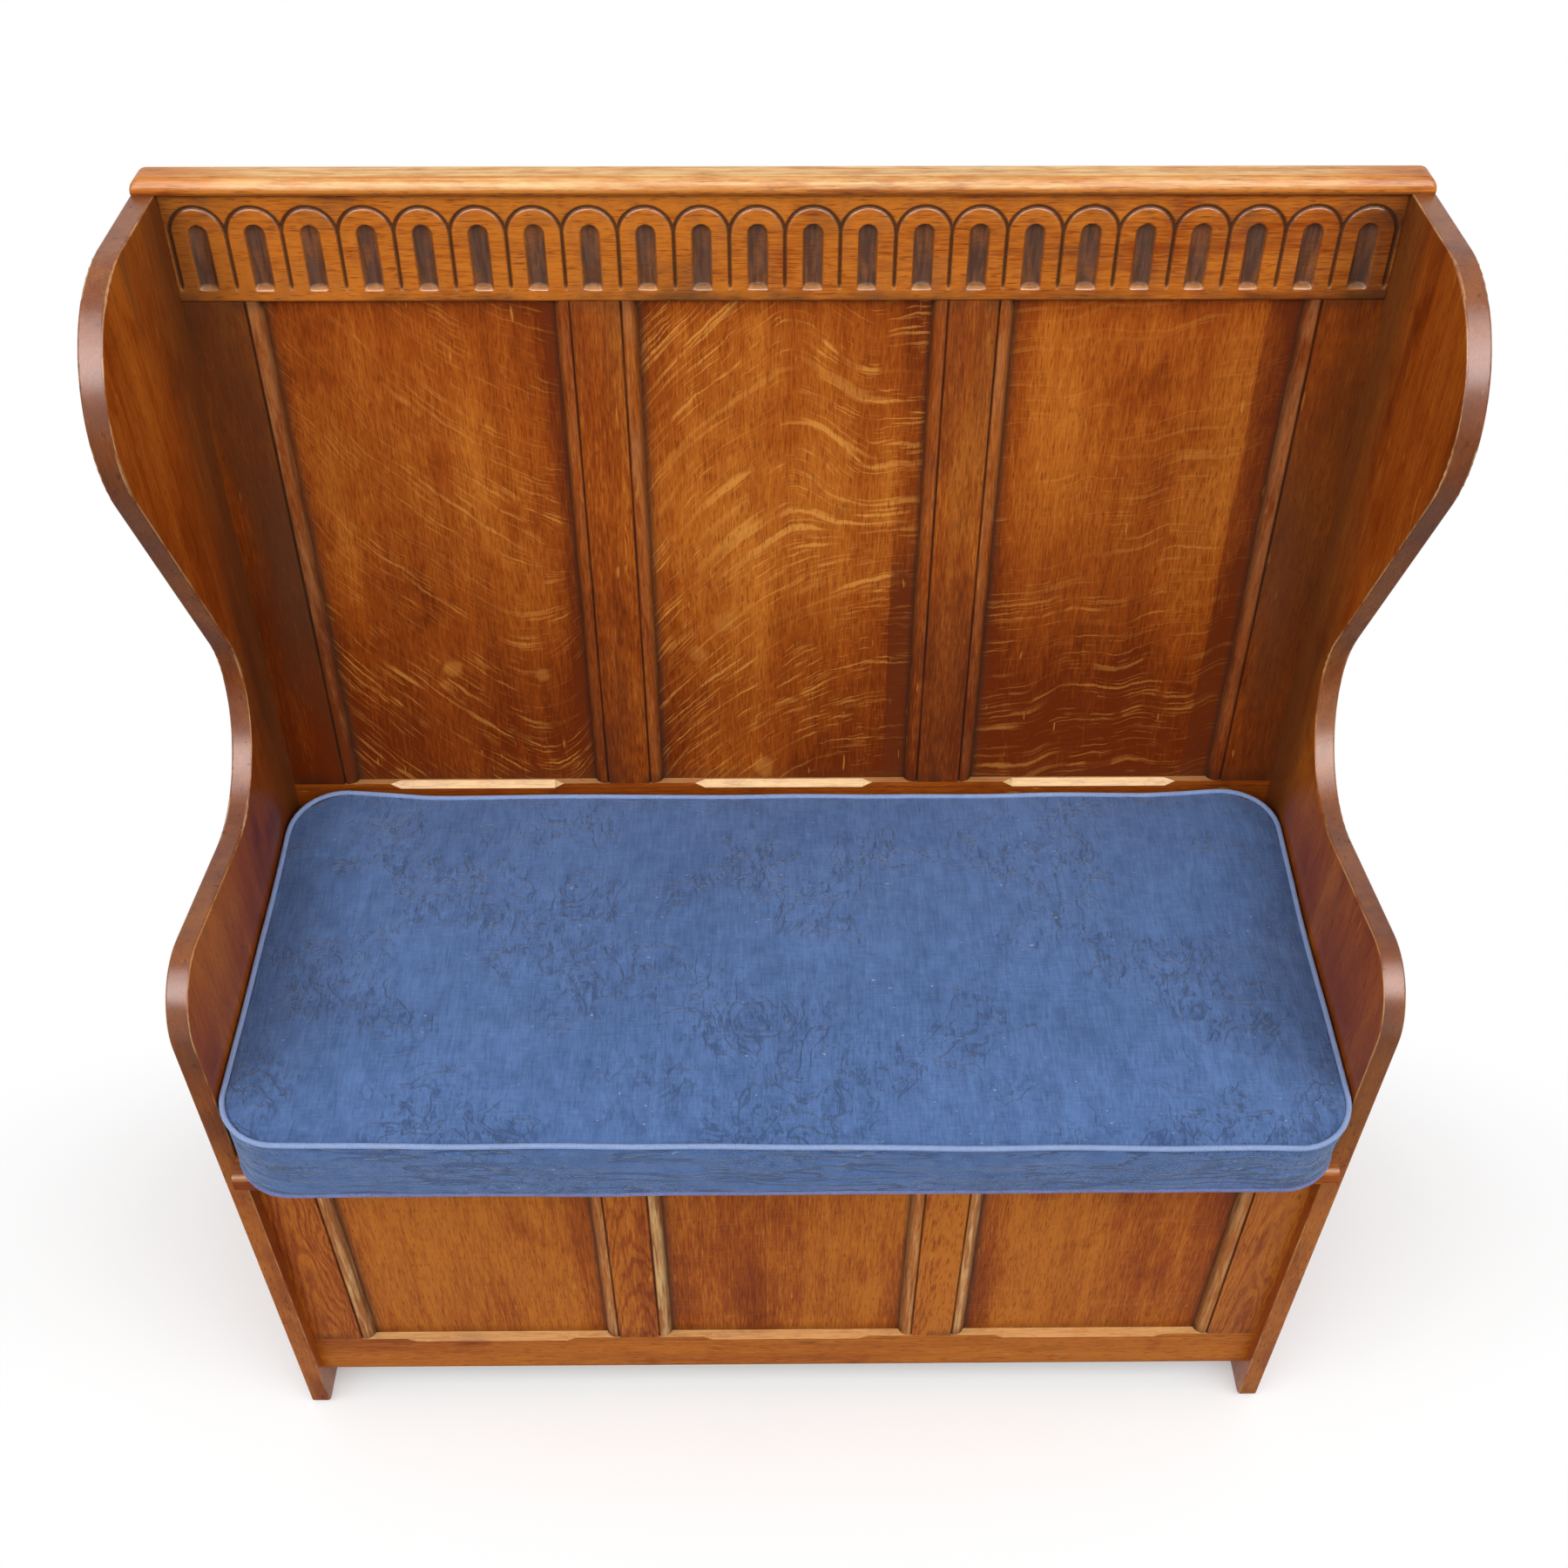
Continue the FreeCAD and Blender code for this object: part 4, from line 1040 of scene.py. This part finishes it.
class SETTLE_OT_frieze(bpy.types.Operator):
    """Carve the frieze: round-headed flutes inside incised arches"""

    bl_idname = "settle.frieze"
    bl_label = "Carved frieze"

    def execute(self, context):
        sizes = settings().carving
        bottom, top = BACK_OPENING[1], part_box("top_cap")[0].z
        columns = int(round(2.0 * INNER_FACE / sizes.cell))
        rows = int(round((top - bottom) / sizes.cell))
        xs = np.linspace(-INNER_FACE, INNER_FACE, columns + 1)
        zs = np.linspace(bottom, top, rows + 1)
        grid_x, grid_z = np.meshgrid(xs, zs)
        depth, stain, groove, lip = carved_depth(grid_x, grid_z, sizes)
        depth = depth + np.clip(1.0 - (grid_z - bottom) / 0.0018, 0.0, 1.0) ** 2 * 0.0012
        face_y = back_face_y(grid_z)
        front = np.stack([grid_x, face_y + depth, grid_z], axis=-1)
        back = np.stack([grid_x, face_y + CARVED_BOARD, grid_z], axis=-1)
        wide = columns + 1
        vertices = np.concatenate([front, back[-1:], back[:1]]).reshape(-1, 3).tolist()
        index = np.arange(len(vertices)).reshape(rows + 3, wide)
        index = np.concatenate([index, index[:1]])
        quads = np.stack([index[:-1, :-1], index[:-1, 1:], index[1:, 1:], index[1:, :-1]], axis=-1)
        faces = quads.reshape(-1, 4).tolist()
        faces.append(index[:-1, 0].tolist())
        faces.append(index[-2::-1, -1].tolist())
        mesh = new_mesh("carved_frieze", vertices, faces)
        piece = new_piece("carved_frieze", mesh, frieze_material(), "carcase")
        for name, values in (("flute", stain), ("groove", groove), ("lip", lip)):
            held = mesh.attributes.new(name, "FLOAT", "POINT")
            every = np.concatenate([values.ravel(), np.zeros(2 * wide)]).astype(np.float32)
            held.data.foreach_set("value", every)
        mesh.polygons.foreach_set("use_smooth", [face < rows * columns for face in range(len(faces))])
        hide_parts("frieze_rail")
        return {"FINISHED"}


class SETTLE_OT_back_frame(bpy.types.Operator):
    """Finish the stiles, muntins and bottom rail of the back"""

    bl_idname = "settle.back_frame"
    bl_label = "Back frame"

    def execute(self, context):
        for side, seed, sign, stain in (("left", 61.0, -1.0, 0.75), ("right", 62.0, 1.0, 0.6)):
            muntin = "back_" + side + "_muntin"
            paint_upright(muntin, seed, middle(muntin), MUNTIN_HALF_FLAT, BACK_OPENING, 0.58 - 0.05 * sign,
                          0.25, 0.6, stain=0.34, painted_foot_shade=0.50, contrast=1.5)
            paint_upright("back_" + side + "_stile", seed + 5.0, sign * INNER_FACE, STILE_FLAT, BACK_OPENING,
                          0.42, 0.7, 0.95, stain=stain)
        paint_rail("back_bottom_rail", 71.0, tone=0.50, ledge=BACK_OPENING[0])
        return {"FINISHED"}


class SETTLE_OT_back_panels(bpy.types.Operator):
    """Finish the three quarter-sawn back panels"""

    bl_idname = "settle.back_panels"
    bl_label = "Back panels"

    def execute(self, context):
        paint_panel("back_left_panel", 3.0, falling_flow, 0.60, 0.66, band=0.2, band_width=0.012, fine=1.4,
                    top_share=0.5, spots=((-0.317, 0.708, 0.012, 0.30), (-0.232, 0.700, 0.009, 0.25)))
        paint_panel("back_centre_panel", 4.0, peaked_flow, 0.70, 0.80, band=0.40, band_top=0.80, fine=1.5,
                    bold=(0.02, 0.90, 0.16), spots=(
                        (-0.055, 0.76, 0.014, 0.25), (-0.082, 0.725, 0.012, 0.2), (-0.02, 0.585, 0.014, 0.25)))
        paint_panel("back_right_panel", 6.0, stepped_flow, 0.42, 0.68, band=0.32, band_width=0.026, reach=2.2,
                    fine=1.1, top_share=0.45, bold=(0.225, 0.61, 0.075))
        return {"FINISHED"}


class SETTLE_OT_front_frame(bpy.types.Operator):
    """Finish the stiles, muntins and rails of the box front"""

    bl_idname = "settle.front_frame"
    bl_label = "Front frame"

    def execute(self, context):
        # Shared by the front uprights; their right-facing mouldings are paler, wear plus a painted highlight.
        handled_and_lit = {"worn_and_lit_left": 0.45, "worn_and_lit_right": 0.9, "painted_foot_shade": 0.0, "worn_least": 0.4, "low_share": 1.0,
                   "contrast": 1.3}
        for side, seed, sign in (("left", 81.0, -1.0), ("right", 82.0, 1.0)):
            muntin = "front_" + side + "_muntin"
            centre = middle(muntin)
            paint_upright(muntin, seed, centre, MUNTIN_HALF_FLAT, FRONT_OPENING, 0.76 + 0.10 * sign, pale=0.8,
                          figure=(seed, (centre + 0.004, 0.3), (0.020, 0.085), 0.26), **handled_and_lit)
            paint_upright("front_" + side + "_stile", seed + 5.0, sign * INNER_FACE, STILE_FLAT, FRONT_OPENING,
                          0.98 + 0.16 * sign, pale=0.7, dusty=0.10 + 0.10 * sign,
                          figure=(seed + 3.0, (sign * 0.470, 0.2), (0.018, 0.16), 0.28), **handled_and_lit)
        paint_rail("front_bottom_rail", 72.0, 0.82, FRONT_OPENING[0], BOX_UNDERSIDE, (0.35, 0.60))
        paint_rail("front_top_rail", 73.0)
        return {"FINISHED"}


class SETTLE_OT_front_panels(bpy.types.Operator):
    """Finish the three panels of the box front"""

    bl_idname = "settle.front_panels"
    bl_label = "Front panels"

    def execute(self, context):
        for side, seed, tone, split in (("left", 21.0, 0.70, None), ("centre", 22.0, 0.98, -0.020),
                                        ("right", 23.0, 0.76, None)):
            paint_panel("front_" + side + "_panel", seed, level_flow, 0.13, tone, contrast=1.5, painted_shade_low=0.0,
                        painted_shade_high=0.0, fine=1.6, split=split)
        return {"FINISHED"}


class SETTLE_OT_seat(bpy.types.Operator):
    """Finish the seat lid, the fixed strip, the battens and the inside of the box"""

    bl_idname = "settle.seat"
    bl_label = "Seat and box"

    def execute(self, context):
        paint_rail("seat_lid", 91.0, tone=0.42, rubbed=(0.25, 0.08))
        paint_rail("fixed_seat_strip", 92.0, tone=0.45)
        for place, name in enumerate((
                "lower_back_board", "box_floor", "left_floor_bearer", "right_floor_bearer", "left_seat_bearer",
                "right_seat_bearer", "lid_left_batten", "lid_right_batten")):
            grain = "X" if name in ("lower_back_board", "box_floor") else "Y"
            paint(name, dry_oak("dry_oak_" + name, 101.0 + place, grain))
        return {"FINISHED"}


class SETTLE_OT_metalwork(bpy.types.Operator):
    """Finish the hinges and screws"""

    bl_idname = "settle.metalwork"
    bl_label = "Hinges and screws"

    def execute(self, context):
        brass, steel = metal("aged_brass", "brass", 0.38), metal("dull_steel", "steel", 0.42)
        for name in ("hinge_lid_leaves", "hinge_fixed_leaves", "hinge_pins", "lid_leaf_screws",
                     "fixed_leaf_screws"):
            paint(name, brass)
        for name in ("bearer_screws", "batten_screws"):
            paint(name, steel)
        return {"FINISHED"}


class SETTLE_OT_cushion(bpy.types.Operator):
    """Make the velvet box cushion and its piping"""

    bl_idname = "settle.cushion"
    bl_label = "Cushion"

    def execute(self, context):
        sizes = settings().cushion
        cover = velvet("blue_velvet", "velvet")
        shell = new_mesh("velvet_cushion", *cushion_shell(sizes.corner))
        piece = new_piece("velvet_cushion", shell, cover, "cushion")
        shape_cushion(piece, sizes)
        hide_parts("seat_cushion")
        # The upper piping is paler, partly a painted highlight; the lower piping is darker, as painted shade.
        cord = velvet("piping_velvet", "cord", pile=0.0)
        top = piping_piece("top_piping", corded_seam, sizes.piping, cord)
        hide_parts("cushion_top_piping")
        tucked = velvet("lower_piping_velvet", "tucked", pile=0.0)
        bottom = piping_piece("bottom_piping", tucked_seam, sizes.piping * 0.75, tucked)
        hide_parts("cushion_bottom_piping")
        return {"FINISHED"}


class SETTLE_OT_stage(bpy.types.Operator):
    """Set the floor, the lights, the surroundings and the camera"""

    bl_idname = "settle.stage"
    bl_label = "Stage"

    def execute(self, context):
        stage = settings().stage
        self.make_floor()
        self.make_sky(stage)
        for side, sign in (("left", -1.0), ("right", 1.0)):
            self.make_lamp(side + "_window", stage.window_power, (sign * 1.68, -1.68, 2.94), (3.4, 1.2))
            sheen = self.make_lamp(side + "_sheen", stage.sheen_power, (sign * 1.32, -1.75, 3.40), (2.8, 2.8))
            sheen.visible_diffuse = False
        self.make_camera(stage)
        context.scene.view_settings.view_transform = "Standard"
        return {"FINISHED"}

    def make_floor(self):
        """A pale floor that turns white away from the settle, and is darker where it only lights it."""
        corners = [(x * FLOOR_REACH, y * FLOOR_REACH, 0) for x, y in ((-1, -1), (1, -1), (1, 1), (-1, 1))]
        mesh = new_mesh("floor", corners, [(0, 1, 2, 3)])
        floor = new_object("floor", mesh)
        pale = Finish("pale_floor", 0.8, specular=0.1)
        speckle = pale.clouds(pale.point, 3.0)
        pale.drive("Base Color", pale.mix(speckle, grey(0.79), grey(0.81)))
        glow, white = [pale.one("ShaderNodeEmission", 0, None, {"Strength": strength}) for strength in (0.19, 1.0)]
        dim = pale.one("ShaderNodeBsdfDiffuse", 0, None, {"Color": grey(0.42)})
        near = pale.one("ShaderNodeAddShader", 0, None, {0: pale.surface, 1: glow})
        away = ((pale.x * 0.65) ** 2.0 + (pale.y * 1.9) ** 2.0) ** 0.5
        shown = pale.mix_shaders(away.ease(0.40, 0.80), near, white)
        chosen = pale.mix_shaders(pale.shown_rays(), dim, shown)
        pale.tree.links.new(chosen.socket, pale.output.inputs["Surface"])
        mesh.materials.append(pale.material)

    def make_sky(self, stage):
        world = bpy.data.worlds.new("studio")
        bpy.context.scene.world = world
        world.use_nodes = True
        sky = Nodes(world.node_tree)
        plain, white = [sky.one("ShaderNodeBackground", 0, None, {"Color": grey(1.0), "Strength": strength})
                        for strength in (stage.sky, 1.0)]
        sky.add("ShaderNodeOutputWorld", None, {"Surface": sky.mix_shaders(sky.shown_rays(), plain, white)})

    def make_lamp(self, name, power, place, size):
        light = bpy.data.lights.new(name, "AREA")
        light.energy = power
        light.shape = "RECTANGLE"
        light.size, light.size_y = size
        lamp = new_object(name, light)
        lamp.location = place
        aim = Vector(LAMP_AIM) - Vector(place)
        lamp.rotation_euler = aim.to_track_quat("-Z", "Y").to_euler()
        return lamp

    def make_camera(self, stage):
        pitch, yaw, roll = stage.pitch, stage.yaw, stage.roll
        forward = Vector((math.sin(yaw) * math.cos(pitch), math.cos(yaw) * math.cos(pitch), -math.sin(pitch)))
        level = Vector((math.cos(yaw), -math.sin(yaw), 0.0))
        down = forward.cross(level)
        right = level * math.cos(roll) + down * math.sin(roll)
        lower = down * math.cos(roll) - level * math.sin(roll)
        data = bpy.data.cameras.new("camera")
        data.lens = stage.lens
        data.sensor_width = 36.0
        data.clip_start = 0.01
        data.clip_end = 100.0
        camera = new_object("camera", data)
        turn = Matrix((right, -lower, -forward)).transposed()
        camera.matrix_world = Matrix.Translation(Vector(stage.place)) @ turn.to_4x4()
        bpy.context.scene.camera = camera


STEPS = (
    SETTLE_OT_sides, SETTLE_OT_capping, SETTLE_OT_frieze, SETTLE_OT_back_frame, SETTLE_OT_back_panels,
    SETTLE_OT_front_frame, SETTLE_OT_front_panels, SETTLE_OT_seat, SETTLE_OT_metalwork, SETTLE_OT_cushion,
    SETTLE_OT_stage,
)


class SETTLE_PT_panel(bpy.types.Panel):
    """Lists the settle's pieces"""

    bl_idname = "SETTLE_PT_panel"
    bl_label = "Settle"
    bl_space_type = "VIEW_3D"
    bl_region_type = "UI"
    bl_category = "Settle"

    def draw(self, context):
        for step in STEPS:
            self.layout.operator(step.bl_idname)


GROUPS = (OakColours, MetalColours, CarvingSizes, CushionSizes, StageSizes, SettleSettings)
CLASSES = GROUPS + STEPS + (SETTLE_PT_panel,)


def register():
    for kind in CLASSES:
        bpy.utils.register_class(kind)
    bpy.types.Scene.settle = bpy.props.PointerProperty(type=SettleSettings)


def unregister():
    del bpy.types.Scene.settle
    for kind in reversed(CLASSES):
        bpy.utils.unregister_class(kind)


def main():
    register()
    for step in STEPS:
        family, name = step.bl_idname.split(".")
        getattr(getattr(bpy.ops, family), name)()


if __name__ == "__main__":
    main()
